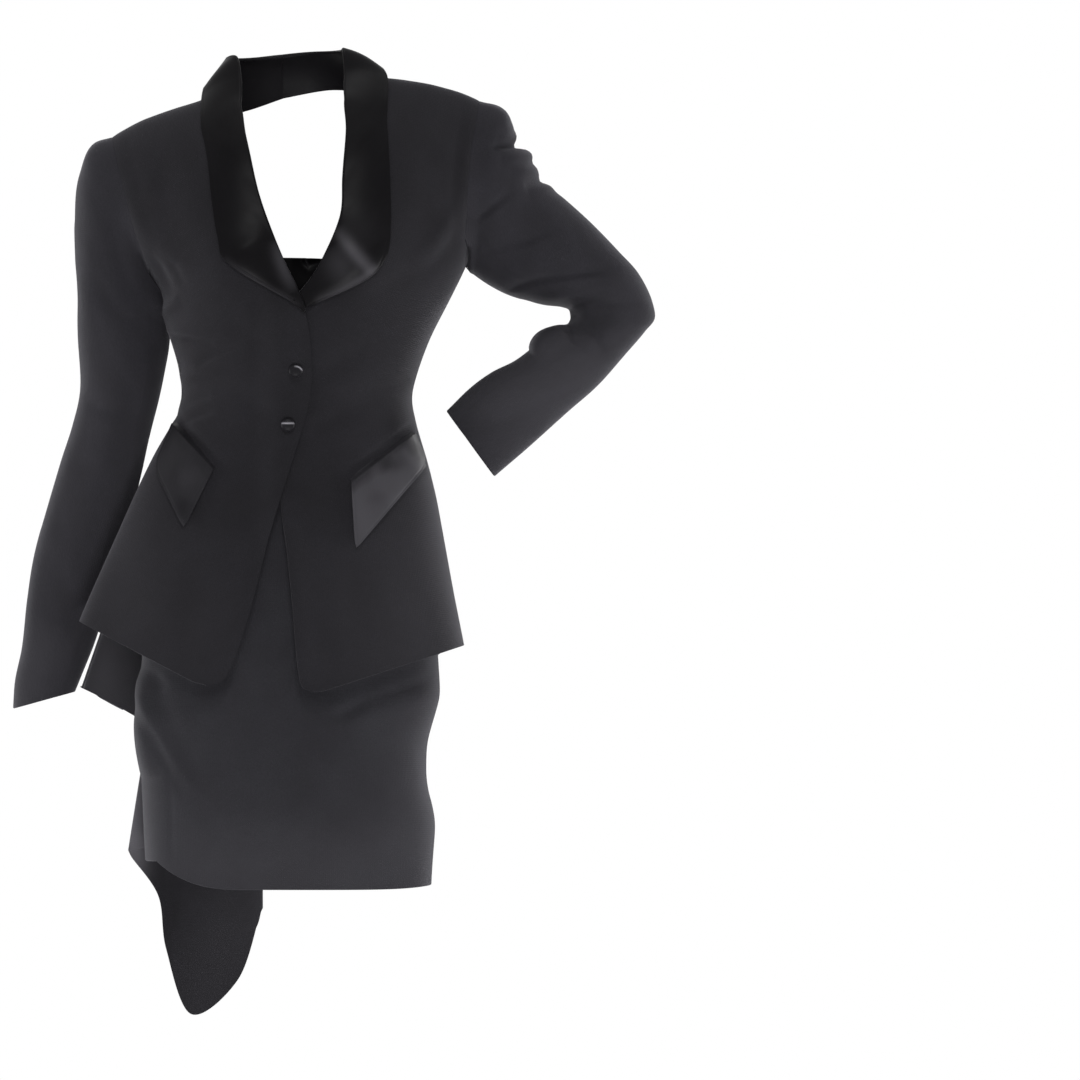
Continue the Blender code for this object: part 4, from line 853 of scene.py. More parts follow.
# The puff at the top of the left sleeve: the shoulder's edge, a dip below it, then the fullness.
LEFT_SLEEVE_HEAD_CREASES = metres(
    (194, 4, 232, 6, 240, -34, 6, 12, 12), (216, -52, 240, -50, 268, -46, -11, 4.5, 6),
    (230, -66, 256, -64, 284, -56, 5, 6, 8), (240, -80, 262, -80, 290, -70, 3, 8, 6),
    (254, -96, 268, -91, 292, -80, -3, 6, 4), (262, -108, 284, -97, 306, -86, 2, 5, 10),
    (217, -42, 221, -26, 236, -20, 1.6, 4, 4), (224, -48, 226, -36, 234, -30, -2.4, 5, 5),
    (262, -280, 280, -266, 306, -256, 14, 10, 10))
# Painted light on each sleeve: along the inside of the arm, and on the bent forearm.
RIGHT_SLEEVE_PAINTED_LIGHT = metres(
    (-215, -220, -220, -420, -270, -640, 65, 50, 50), (-158, -290, -178, -450, -232, -640, 90, 18, 18),
    (-262, -580, -290, -650, -322, -710, 90, 40, 40))
LEFT_SLEEVE_PAINTED_LIGHT = metres(
    (330, -255, 270, -290, 170, -360, 170, 30, 36), (392, -240, 330, -310, 220, -410, 80, 40, 40),
    (290, -235, 340, -225, 400, -215, 50, 36, 30))


def armhole_slopes(side, front_rows, back_rows):
    """Unit normals of the body round its armhole, just inside the edge."""
    low = SLEEVE_ROUND // 2
    steps = np.linspace(0, ARMHOLE_ROWS - 1, low + 1)
    halves = []
    for panel, behind in ((front_rows, False), (back_rows, True)):
        shares = np.repeat(SLEEVE_SLOPE_SHARES, low + 1, axis=0)
        near_edge = on_panel(side, panel, behind, steps, share=shares)
        halves.append(outward(near_edge, SHOULDER_MIDDLE)[:, 1])
    return np.concatenate([halves[0], halves[1][-2:0:-1]])


def sleeve_rings(side, rows, front_rows, back_rows):
    """A whole sleeve: the armhole's line, then ovals, joined by smooth curves along the sleeve.

    A point of an oval is its middle plus half its width times cos(turn) and half its depth times
    sin(turn). The turns start where the armhole has them and are even from the fourth oval on. The
    first rings turn in under the body's edge, as the seam allowance does.
    """
    low = SLEEVE_ROUND // 2
    steps = np.linspace(0, ARMHOLE_ROWS - 1, low + 1)
    front, back = (on_panel(side, panel, behind, steps, share=np.ones((low + 1, 1)))[:, 0]
                   for panel, behind in ((front_rows, False), (back_rows, True)))
    start = np.concatenate([front, back[-2:0:-1]])
    start[:, 0] += side * SLEEVE_SEAT
    middle = (start[0] + start[low]) / 2
    tall = (start[0, 2] - start[low, 2]) / 2
    deep = np.abs(start[:, 1] - middle[1]).max()
    sewn = np.unwrap(np.arctan2((middle[1] - start[:, 1]) / deep, (start[:, 2] - middle[2]) / tall))
    even = np.linspace(0, 2 * math.pi, SLEEVE_ROUND, endpoint=False)
    share = ramp(np.arange(len(rows)), width=SLEEVE_HEAD_ROWS)[:, None]
    turn = sewn + (even - sewn) * share
    outer_x, outer_z, inner_x, inner_z, mid_y, depth = upright(rows)
    x, z = swung(outer_x, inner_x, np.cos(turn)), swung(outer_z, inner_z, np.cos(turn))
    y = mid_y - depth * np.sin(turn)
    rings = through(np.concatenate([start[None], np.stack([x, y, z], axis=2)]), SLEEVE_ALONG)
    inward, down = SLEEVE_TUCK
    radial = unit((start - start.mean(axis=0)) * [0, 1, 1])
    tuck = start - radial * down - np.array([side * inward, 0, 0])
    share, sink = TUCK_BEND
    bend = tuck * share + start * (1 - share) - radial * sink
    return np.concatenate([tuck[None], bend[None], rings])


SLEEVES = [
    ("right", WEARER_RIGHT, RIGHT_SLEEVE, RIGHT_FRONT_ROWS, RIGHT_BACK_ROWS,
     RIGHT_SLEEVE_FRONT_CREASES, RIGHT_SLEEVE_BACK_CREASES, [], RIGHT_SLEEVE_PAINTED_LIGHT),
    ("left", WEARER_LEFT, LEFT_SLEEVE, LEFT_FRONT_ROWS, LEFT_BACK_ROWS,
     LEFT_SLEEVE_FRONT_CREASES, LEFT_SLEEVE_BACK_CREASES, LEFT_SLEEVE_HEAD_CREASES, LEFT_SLEEVE_PAINTED_LIGHT),
]
# The sleeves' crepe is a paler copy of the body's: painted light for the side light they take.
sleeve_skin = crepe("black_wool_crepe_sleeve_painted_paler", "#242327", "#2d2c31")
for name, side, rows, front_rows, back_rows, front_folds, back_folds, head_folds, sleeve_painted_light in SLEEVES:
    points = sleeve_rings(side, rows, front_rows, back_rows)
    normals = outward(points)
    x, z = points[:, :, 0], points[:, :, 2]
    height = round_creases(x, z, normals, front_folds, back_folds)[0]
    height += creases(x, z, head_folds) + unevenness(x, z, *SLEEVE_WAVES)
    height *= ramp(np.arange(len(points)), TUCK_RINGS, SLEEVE_PLAIN_RINGS)[:, None]
    points, normals = raised(points, normals, height)
    free = eased(ramp(np.arange(len(points)), TUCK_RINGS, SEAT_RINGS))[:, None, None]
    slopes = armhole_slopes(side, front_rows, back_rows) * (1 - free) + normals * free
    # Painted light on the sleeve, where the lamps leave it darker.
    painted_light = creases(points[:, :, 0], points[:, :, 2], sleeve_painted_light)
    front_seam, back_seam = SLEEVE_SEAMS
    under = np.arange(front_seam, back_seam + 1)
    top = np.arange(back_seam, SLEEVE_ROUND + front_seam + 1) % SLEEVE_ROUND
    for part, columns in (("top", top), ("under", under)):
        node = name + "_" + part + "_sleeve"
        made = cloth(node, points[:, columns], normals[:, columns], CREPE_THICK, sleeve_skin, sewn="tlr",
                     painted_light=painted_light[:, columns], shading=slopes[:, columns])
        sew(made, node)

# ==================================================================================== collar
# The shawl collar is black duchess satin, in two halves that meet at the centre back. Each half is
# sewn to the neck, rolls over along the front edge, and ends in a rounded lapel above the buttons.
SATIN_THICK = 0.0016
SATIN_THREAD = 0.0014
SATIN_FLOAT = 14
SATIN_CLOUD = 0.035
LAPEL_ROWS = 130
NECK_FINE_ROWS = 60
COLLAR_ACROSS = 60
ROLL_STEPS = 7
ROLL_RADIUS = 0.0024
# A lapel's lift off the front: at the roll, at the edge, and the arch between them.
LAPEL_LIFT = (0.0052, 0.0024, 0.0012)
# The edge stitching's distance from the edge, width and depth, and where it fades out upward.
EDGE_STITCH = (0.0045, 0.0012, 0.0005)
STITCH_TOP = -0.165
STITCH_FADE = (0.03, 0.15)
NECK_SWELL = (0.0010, 0.0020, 0.0035)
NECK_MIDDLE = (0, 0, -0.05)
LAPEL_LEAST = 0.012
LAPEL_GUIDES = slice(0, 25, 8)
LAPEL_FADE = 0.6
COLLAR_WAVES = (31, 0.10, 0.0008)
# Where the collar lies on a front, as shares of its rows: row number, share at the roll, at the edge.
RIGHT_LAPEL = [(2.0, 0.0, 0.320), (3.0, 0.0, 0.316), (4.0, 0.0, 0.358), (5.0, 0.0, 0.397), (5.6, 0.0, 0.412),
               (6.0, 0.0, 0.346), (6.5, 0.0, 0.185), (6.9, 0.0, 0.045), (7.02, 0.0, 0.012)]
LEFT_LAPEL = [(2.0, 0.0, 0.326), (3.0, 0.0, 0.340), (4.0, 0.0, 0.376), (5.0, 0.0, 0.395), (5.85, 0.0, 0.418),
              (6.1, 0.0, 0.412), (6.35, 0.0, 0.375), (6.6, 0.0, 0.284), (6.8, 0.075, 0.181),
              (6.92, 0.095, 0.127)]
# Collar round the neck, from shoulder to centre back: roll x, y, z, then outer edge x, y, z.
RIGHT_NECK = metres(
    (-61.2, -36, 8, -104.5, -39, -16.5), (-62.5, -20, 26, -104, -10, 4), (-67, 0, 49, -102, 10, 14),
    (-77, 20, 48, -104, 33, -4), (-68, 40, 47, -92, 60, -18), (-45, 53, 48, -55, 77, -10),
    (-15, 58, 51, -14, 83, 4))
LEFT_NECK = metres(
    (56.8, -35, 16, 103.5, -36.5, 4.5), (57, -20, 32, 103, -10, 26), (55, 0, 58, 96, 10, 37),
    (52, 20, 57, 95, 33, 28), (42, 40, 56, 78, 60, 14), (18, 53, 55, 36, 77, 13), (-15, 58, 51, -14, 83, 4))
LAPEL_CREASES = metres(
    (30, -140, 72, -176, 96, -212, 5, 16, 20), (-26, -150, -52, -170, -86, -182, 3.2, 12, 24))
# Painted sheen on the collar: on the lapels along the fold across each tip, along its edge and
# between, and painted paler all over behind the neck.
LAPEL_PAINTED_SHEEN = metres(
    (46, -143, 66, -176, 90, -196, 340, 6, 8), (92, -184, 74, -206, 22, -226, 260, 5, 6),
    (40, -165, 52, -185, 60, -206, 120, 16, 18), (62, -120, 76, -150, 88, -165, 30, 20, 20),
    (-20, -156, -16, -180, 2, -214, 200, 8, 8), (-78, -176, -40, -208, 10, -230, 120, 4.5, 4.5))
BEHIND_NECK_PAINTED_LIGHT = 0.05
BEHIND_NECK = (0.03, 0.03)


def satin(name, low, high, smooth_share, rough_share, shine):
    """Duchess satin: long floats of fine thread, so the light slides along one way of the cloth.

    The thread is 0.1 mm thick in the real cloth and is drawn at 1.4 mm, so that it shows. Broad
    waves of the filling yarn make the shine uneven. Where the mesh carries painted light the colour
    is painted paler, as painted highlights along the folds.
    """
    skin, tree = new_skin(name)
    cut = add(tree, "UVMap", {}, uv_map="cut").outputs[0]
    long = SATIN_THREAD * SATIN_FLOAT
    drawn = add(tree, "Mapping", {"Vector": cut, "Scale": (1 / SATIN_THREAD, 1 / long, 1.0)}).outputs[0]
    thread = noise(tree, drawn, 1.0, 2.0)
    cloud = noise(tree, cut, 1 / SATIN_CLOUD, 3.0, Roughness=0.55)
    rough = add(tree, "MapRange", {"Value": cloud, "From Min": 0.3, "From Max": 0.7,
                                  "To Min": smooth_share, "To Max": rough_share}).outputs[0]
    shade = joined(tree, "MULTIPLY", thread, cloud)
    finish_skin(tree, (low, high), shade, PAINTED_LIGHT_HEX, thread, strength=0.25, distance=0.00012, levels={
        "Roughness": rough, "Specular IOR Level": shine, "Sheen Weight": 0.03, "Sheen Roughness": 0.30,
        "Sheen Tint": linear("#f0eef4")})
    return skin


satin_skin = satin("black_duchess_satin", "#0e0d0f", "#161517",
                   smooth_share=0.32, rough_share=0.44, shine=0.048)


def collar_half(side, front_rows, lapel, neck):
    """Points of a collar half, from the centre back round the neck and down the lapel.

    Down the front they are the front's own points, moved out by an arch: lift at the roll, less at
    the edge, most between. Round the neck they run straight from roll to edge with a swell between.
    Before the first column a half circle turns the cloth under along the roll.
    """
    u = np.linspace(0, 1, COLLAR_ACROSS)
    u = (u + (1 - np.cos(math.pi * u)) / 2) / 2
    crown = np.sin(math.pi * u)
    lapel = np.array(lapel)
    at = np.linspace(lapel[0, 0], lapel[-1, 0], LAPEL_ROWS)
    start, end = (np.clip(hermite(lapel[:, k], lapel[:, 0], at), 0, 1)[:, None] for k in (1, 2))
    lying = on_panel(side, front_rows, False, at, share=start + u * np.maximum(end - start, LAPEL_LEAST))
    normals = outward(lying, SHOULDER_MIDDLE)
    roll_lift, edge_lift, arch = LAPEL_LIFT
    lift = roll_lift + (edge_lift - roll_lift) * u + arch * crown
    lying = lying + normals * lift[None, :, None]
    edges = np.array(neck)[::-1]
    roll, fall = edges[:, None, :3], edges[:, None, 3:]
    to_front = np.linspace(0, 1, len(edges))[:, None, None]
    whole = np.ones_like(to_front)
    swell = np.array([side, 1, 1]) * NECK_SWELL * np.concatenate([to_front, whole, whole], axis=2)
    round_neck = roll + (fall - roll) * u[None, :, None] + crown[None, :, None] * swell
    guides = np.concatenate([round_neck, lying[LAPEL_GUIDES]])
    knots = linked_rows(guides)
    upper = hermite(guides, knots, np.linspace(0, knots[len(edges)], NECK_FINE_ROWS))
    points = np.concatenate([upper[:-1], lying])
    normals = outward(points, NECK_MIDDLE)
    away = np.cumsum(np.linalg.norm(np.diff(points[:, ::-1], axis=1), axis=2), axis=1)[:, ::-1]
    away = np.concatenate([away, np.zeros((len(points), 1))], axis=1)
    fade, least = STITCH_FADE
    low = np.clip((STITCH_TOP - points[:, :, 2]) / fade, least, 1)
    points = points - normals * (low * stitching(away, EDGE_STITCH))[:, :, None]
    turn = np.linspace(math.pi, 0, ROLL_STEPS)[:-1][None, :, None]
    out = unit(points[:, :1] - points[:, 1:2])
    under = points[:, :1] + ROLL_RADIUS * (normals[:, :1] * (np.cos(turn) - 1) + out * np.sin(turn))
    return np.concatenate([under, points], axis=1)


for name, side, front_rows, lapel, neck in [
        ("right_collar", WEARER_RIGHT, RIGHT_FRONT_ROWS, RIGHT_LAPEL, RIGHT_NECK),
        ("left_collar", WEARER_LEFT, LEFT_FRONT_ROWS, LEFT_LAPEL, LEFT_NECK)]:
    points = collar_half(side, front_rows, lapel, neck)
    normals = outward(points, NECK_MIDDLE)
    x, z = points[:, :, 0], points[:, :, 2]
    across = ramp(np.arange(points.shape[1]), ROLL_STEPS - 1, COLLAR_ACROSS - 1)[None, :]
    height = unevenness(x, z, *COLLAR_WAVES)
    height += creases(x, z, LAPEL_CREASES) * (points[:, :, 1] < 0) * np.sin(math.pi * across) ** LAPEL_FADE
    # Painted sheen on the lapels, and painted light behind the neck.
    painted_light = creases(x, z, LAPEL_PAINTED_SHEEN) * (points[:, :, 1] < 0)
    painted_light += BEHIND_NECK_PAINTED_LIGHT * ramp(points[:, :, 1], *BEHIND_NECK)
    points, normals = raised(points, normals, height, NECK_MIDDLE)
    made = cloth(name, points, normals, SATIN_THICK, satin_skin, sewn="tr", painted_light=painted_light)
    sew(made, name)

# ==================================================================================== pocket flaps
# The pointed flaps are the same satin in a paler, shinier copy, painted light for the sheen they
# catch. They are lined and turned, and come out of a pocket mouth below the waist on each front.
FLAP_THICK = 0.0018
FLAP_GRID = 72
FLAP_REACH = 0.97
# A flap's lift in the pocket mouth and below it, and the share of its length where it comes out.
FLAP_LIFT = (-0.0012, 0.0046, 0.10)
FLAP_PAD = 0.0005
FLAP_STITCH = (0.0032, 0.0010, 0.0004)
# How far the lower corners are pulled in, and over what reach.
FLAP_CORNER = (0.0030, 0.0070)
# Painted shade in the pocket mouth: the flap's painted light grows over this distance below it, from this
# share.
FLAP_FADE = 0.022
FLAP_LEAST = 0.35
FLAP_WAVES = (41, 0.05, 0.0006)
FLAP_CLOUDS = (43, 0.02, 0.006)
HIP_MIDDLE = (0, 0, -0.42)
# Corners of a flap, distance and height: top outer, top inner, bottom inner, bottom outer.
RIGHT_FLAP = metres((131, -356), (85.5, -405), (121, -477), (154, -408))
LEFT_FLAP = metres((129, -367), (62, -418.5), (67, -500), (144.5, -406))
# Painted sheen on each flap below its mouth, and painted patches of sheen and shade on it.
FLAP_PAINTED_LIGHT_AND_SHADE = metres(
    (-150, -420, -128, -474, -114, -480, 100, 1.5, 3), (-120, -440, -126, -452, -116, -470, -40, 10, 10),
    (-100, -412, -118, -424, -128, -424, 40, 12, 12), (82, -392, 104, -418, 124, -396, -160, 8, 10),
    (114, -388, 128, -396, 140, -420, 100, 5, 7), (136, -384, 142, -392, 145, -404, -100, 5, 5),
    (66, -430, 70, -470, 90, -490, 50, 14, 14), (78, -440, 92, -446, 100, -436, -50, 8, 8),
    (100, -450, 116, -440, 132, -424, 50, 8, 6))
# A paler copy of the collar's satin: painted sheen for the light the flaps catch.
flap_paler_skin = satin("black_satin_painted_paler", "#161518", "#2a292d",
                  smooth_share=0.45, rough_share=0.58, shine=0.10)
# The wearer's left flap is painted much paler than the right one: painted sheen where it faces a lamp.
for name, side, corners, flap_painted_light in [
        ("right_pocket_flap", WEARER_RIGHT, np.array(RIGHT_FLAP), 0.04),
        ("left_pocket_flap", WEARER_LEFT, np.array(LEFT_FLAP), 0.24)]:
    u = np.linspace(0, 1, FLAP_GRID)[None, :]
    v = np.linspace(0, 1, FLAP_GRID)[:, None]
    top_out, top_in, low_in, low_out = corners
    reach, z = ((top_out[k] * (1 - u) + top_in[k] * u) * (1 - v) + (low_out[k] * (1 - u) + low_in[k] * u) * v
                for k in range(2))
    pull, wide = FLAP_CORNER
    inward = unit(np.mean(corners, axis=0) - corners)
    reach, z = rounded(reach, z, [(*corners[k], *(inward[k] * pull), wide) for k in (2, 3)])
    x = side * np.minimum(reach, half_width(side, False, z) * FLAP_REACH)
    points = np.stack([x, form_y(x, z, False), z], axis=2)
    normals = outward(points, HIP_MIDDLE)
    hidden, stand, mouth = FLAP_LIFT
    lift = hidden + (stand - hidden) * eased(ramp(v, width=mouth))
    lift = lift + FLAP_PAD * np.sin(math.pi * u) * np.sin(math.pi * v)
    along = np.linalg.norm(points[:, -1] - points[:, 0], axis=1)[:, None]
    down = np.linalg.norm(points[-1] - points[0], axis=1)[None, :]
    away = np.minimum(np.minimum(u, 1 - u) * along, (1 - v) * down)
    lift = lift - stitching(away, FLAP_STITCH) + unevenness(x, z, *FLAP_WAVES)
    points, normals = raised(points, normals, lift, HIP_MIDDLE)
    # Painted shade in the pocket mouth, then painted light and painted patches of sheen and shade.
    from_mouth = (v * down + unevenness(x, z, *FLAP_CLOUDS)) / FLAP_FADE
    painted_light = flap_painted_light * np.clip(from_mouth, FLAP_LEAST, 1)
    painted_light = painted_light + creases(x, z, FLAP_PAINTED_LIGHT_AND_SHADE) * np.clip(from_mouth, 0, 1)
    made = cloth(name, points, normals, FLAP_THICK, flap_paler_skin, sewn="t", painted_light=painted_light)
    sew(made, name)

# ==================================================================================== buttons
# Two domed buttons covered in the satin are sewn by a shank to the right front.
BUTTON_RADIUS = 0.0075
BUTTON_HEIGHT = 0.0045
BUTTON_SEAT = 0.0020
BUTTON_TURNS = 120
BUTTON_RINGS = 60
# The width and length of the streaks in the cloth of a button.
BUTTON_STREAK = (0.0005, 0.004)
# Middle of each button: x, z.
BUTTONS = metres((2, -301), (-6.7, -361))
# The painted highlight line on each button, from its middle: start x, z, middle x, z, end x, z, strength,
# half widths.
BUTTON_HIGHLIGHTS = [metres((-2, 4.8, 4.6, 6, 9, -2, 1000, 0.8, 0.8)),
                metres((-9.4, 2, 0, 2.2, 9.4, 2, 1000, 0.9, 0.9))]
# How far the ridge under a painted highlight stands off the dome, and the share of the dome's height from
# which the highlight shows.
HIGHLIGHT_RIDGE = 0.0006
DOME_FROM = 0.1
# Section from the middle of the back, round the rim and over the dome: share of radius, of height.
BUTTON_SECTION = [(0.0, 0.0), (0.45, 0.0), (0.86, 0.02), (0.97, 0.12), (1.0, 0.30), (0.98, 0.48),
                  (0.92, 0.62), (0.82, 0.75), (0.64, 0.88), (0.42, 0.96), (0.20, 0.99), (0.0, 1.0)]


def covered_button():
    """Satin drawn over a metal dome: near black, smooth and tight, with the thread's fine streaks.

    Where the mesh carries painted light, a painted highlight crosses the dome as a pale line.
    """
    skin, tree = new_skin("black_satin_over_metal_dome")
    place = add(tree, "TexCoord", {}).outputs["Object"]
    fine, long = BUTTON_STREAK
    drawn = add(tree, "Mapping", {"Vector": place, "Scale": (1 / fine, 1.0, 1 / long)}).outputs[0]
    thread = noise(tree, drawn, 1.0, 2.0)
    # The pale colour is a painted highlight that crosses each dome.
    finish_skin(tree, ("#151417", "#1d1c20"), thread, "#a3a1a8", thread, strength=0.2, distance=0.0001,
                levels={"Roughness": 0.40, "Specular IOR Level": 0.10})
    return skin


button_skin = covered_button()
for name, (x, z), highlight_line in zip(("upper_button", "lower_button"), BUTTONS, BUTTON_HIGHLIGHTS):
    section = through(np.array(BUTTON_SECTION), BUTTON_RINGS)
    turn = np.linspace(0, 2 * math.pi, BUTTON_TURNS + 1)
    radius = BUTTON_RADIUS * np.clip(section[:, :1], 0, None)
    base = float(form_y(x, z, False) - lap_lift(x, z)) - BUTTON_SEAT
    # A painted highlight line across the dome, on a slight ridge.
    painted_light = creases(radius * np.cos(turn), radius * np.sin(turn), highlight_line) * (section[:, 1:] > DOME_FROM)
    points = np.stack([x + radius * np.cos(turn), base - BUTTON_HEIGHT * section[:, 1:] - HIGHLIGHT_RIDGE * painted_light,
                       z + radius * np.sin(turn)], axis=2)
    mesh = bpy.data.meshes.new(name + "_dome")
    mesh.from_pydata(points.reshape(-1, 3).tolist(), [], grid_faces(*points.shape[:2])[1].tolist())
    store_painted_light(mesh, np.clip(painted_light, 0, 1).ravel())
    merge(mesh)
    mesh.shade_smooth()
    mesh.materials.append(button_skin)
    piece = placed(name + "_dome", mesh)
    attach(piece, "root")
    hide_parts(name)

# ==================================================================================== back drape
# Between the two backs, below the open back, satin is gathered in sharp folds and drawn to the waist,
# where the bow holds it.
BACK_LIMITS = (-0.105, 0.085)
BACK_SLOPE = 0.45
DRAPE_GRID = (150, 140)
DRAPE_LIFT_SHARE = 0.35
DRAPE_EDGE_SHARE = 0.05
DRAPE_WAVES = (51, 0.05, 0.0010)
# Left edge x, z, right edge x, z, lift off the form at each edge.
DRAPE_ROWS = metres(
    (46.5, -174, -98, -172, 0, 5.5), (42, -216, -109, -205, 0, 5.5), (32, -254, -111, -240, 0, 5.5),
    (26.5, -283, -105, -272, 0.2, 5.5), (33, -304, -99, -305, 5, 5.5), (53, -324, -98, -330, 6, 6),
    (78, -345, -100, -360, 6, 6), (56, -385, -102, -400, 6, 6), (18, -440, -104, -450, 6, 6))
# Painted highlights: pale lines along the satin's folds and paler patches, in place of the light they catch.
DRAPE_PAINTED_HIGHLIGHTS = metres(
    (43, -183, -3, -223, -51, -282, 120, 2.4, 3.4), (41, -203, 25, -195, 17, -242, 100, 2.2, 2.2),
    (17, -242, 14, -276, 23, -297, 100, 2.2, 3), (49, -214, 42, -245, 27, -276, 50, 1.8, 1.8),
    (4, -245, -24, -270, -63, -307, 60, 2, 2), (-33, -168, -37, -186, -47, -170, 100, 1.8, 1.8),
    (-27, -214, -32, -198, -77, -190, 110, 4.5, 6), (-45, -307, -50, -312, -53, -317, 80, 3, 3),
    (85, -329, 55, -315, 21, -305, 120, 7, 7), (100, -330, 10, -322, -110, -325, 35, 20, 20),
    (-62, -334, -79, -332, -95, -339, 90, 6, 6), (43, -180, 29, -175, 14, -183, 80, 4, 4),
    (11, -168, 11, -175, 14, -185, 100, 2.2, 2.2))
DRAPE_CREASES = metres(
    (42.6, -182.7, 0.4, -213.8, -50.6, -282.2, 7, 3, 6), (41.6, -195.1, 7.9, -226.2, -36.9, -288.4, -4, 5, 5),
    (41.1, -201.4, 6.6, -207.6, 13.8, -276, 5.5, 3, 5), (13.8, -276, 16.6, -294.6, 32.6, -307.1, 5, 4, 6),
    (48.7, -213.8, 43.3, -244.9, 24.5, -284.7, 3.5, 3, 4),
    (-26.6, -213.8, -35.4, -200.1, -77, -187.7, 5.5, 5, 8),
    (3.6, -244.9, -31.1, -269.8, -62.5, -307.1, 3.5, 3, 6),
    (14.2, -182.7, 9.2, -175.2, 11.2, -167.8, 3, 3, 3), (40.3, -176.5, 25.9, -179, 11.4, -182.7, 3, 4, 4),
    (-32.8, -167.8, -36.9, -182.7, -47.2, -170.3, 3, 3, 3),
    (85.1, -325.7, 54.9, -313.3, 23.2, -300.9, 5.5, 8, 8),
    (-45.5, -307.1, -50.1, -312.1, -53.4, -317, 3, 4, 4), (-70, -215, -85, -250, -80, -300, 2.5, 6, 9),
    (10, -300, -15, -325, -60, -340, 2.5, 6, 8))


def clear_back_y(x, z):
    """The back of the form, carried on straight past where it turns to the side."""
    kept = np.clip(x, *BACK_LIMITS)
    return form_y(kept, z, True) - BACK_SLOPE * np.abs(x - kept)


u = np.linspace(0, 1, DRAPE_GRID[1])[None, :]
left_x, left_z, right_x, right_z, left_lift, right_lift = upright(spread(DRAPE_ROWS, DRAPE_GRID[0]))
x = left_x + (right_x - left_x) * u
z = left_z + (right_z - left_z) * u
lift = left_lift + (right_lift - left_lift) * ramp(u, width=DRAPE_LIFT_SHARE)
fade = ramp(np.minimum(u, 1 - u), width=DRAPE_EDGE_SHARE)
folds = creases(x, z, DRAPE_CREASES) * fade + unevenness(x, z, *DRAPE_WAVES) * fade
y = clear_back_y(x, z) + lift + folds
points = np.stack([x, y, z], axis=2)
normals = outward(points, CHEST_MIDDLE)
# A darker, less shiny copy of the collar's satin: painted shade, so that the drape and bow read dark between
# their painted highlights.
gathered_skin = satin("black_duchess_satin_painted_darker", "#0a090b", "#121113",
                      smooth_share=0.30, rough_share=0.42, shine=0.034)
# Painted highlights along the drape's folds.
made = cloth("back_drape", points, normals, SATIN_THICK, gathered_skin, painted_light=creases(x, z, DRAPE_PAINTED_HIGHLIGHTS))
sew(made, "back_drape")

# ==================================================================================== bow
# The bow at the back of the waist is two loops of the satin, each folded over soft and flat, and sewn
# down at its lower end.
LOOP_RINGS = 120
LOOP_ROUND = 120
# The share of the back's curve that a loop follows, the dip of the upper loop's lip, and the painted
# highlight line along a loop's open rim.
LOOP_FOLLOW = 0.7
LOOP_LIP = 0.012
LOOP_RIM_RINGS = 1.6
LOOP_RIM_PAINTED_HIGHLIGHT = 0.11
# A loop ring by ring: one end x, z, other end x, z, lift off the form, half depth.
UPPER_LOOP = metres(
    (8, -460, -6, -452, 25, 4), (26, -440, -18, -432, 25, 8), (46, -413, -40, -405, 25, 12),
    (66, -388, -62, -378, 24, 14), (83, -366, -83, -350, 23, 13))
LOWER_LOOP = metres(
    (-9, -447, -109, -340, 20, 6), (-13, -453, -128, -362, 24, 10), (-24, -459, -146, -389, 27, 12),
    (-38, -463, -136, -422, 30, 10), (-52, -468, -110, -450, 31, 6))
UPPER_LOOP_CREASES = metres(
    (47.6, -387.6, 12.1, -408.9, -23.4, -411.8, 5, 4, 6),
    (-23.4, -411.8, -37.6, -401.8, -51.8, -366.3, 5, 4, 6),
    (76, -369.2, 33.4, -401.8, 0.8, -461.5, 4.5, 3, 5), (20, -372, 0, -385, -30, -385, -2.5, 6, 6))
LOWER_LOOP_CREASES = metres(
    (-30.5, -452.9, -66, -455.8, -122.8, -420.3, 5.5, 4, 7),
    (-107.9, -342.2, -129.9, -366.3, -146.9, -390.5, 3, 3, 4), (-40, -430, -75, -400, -105, -372, -3, 6, 8),
    (-50, -448, -90, -430, -130, -402, 2, 4, 6))
# Painted highlights along each loop's folds and edges.
UPPER_LOOP_PAINTED_HIGHLIGHTS = metres(
    (90, -360, 10, -395, -60, -390, 50, 35, 35), (72, -365, 14, -329, -65, -336, 50, 3, 3),
    (62, -368, 12, -354, -80, -363, 110, 2.2, 2.2), (48, -388, 12, -406, -16, -415, 110, 2.5, 2.5),
    (-16, -415, -38, -402, -53, -365, 120, 2.5, 2.5), (75, -371, 38, -399, 1, -461, 90, 2, 2),
    (63, -371, 29, -399, -5, -453, 60, 2, 2), (-82, -356, -49, -388, -11, -439, 110, 2, 2))
LOWER_LOOP_PAINTED_HIGHLIGHTS = metres(
    (10, -460, -70, -430, -150, -370, 75, 40, 40), (-30, -454, -73, -453, -123, -419, 120, 3, 3),
    (-108, -342, -130, -366, -147, -390, 100, 2.5, 2.5), (-9, -449, -38, -467, -80, -470, 60, 2, 2),
    (-80, -470, -104, -459, -133, -408, 70, 2, 2), (-16, -442, -52, -409, -84, -362, 90, 2, 2))
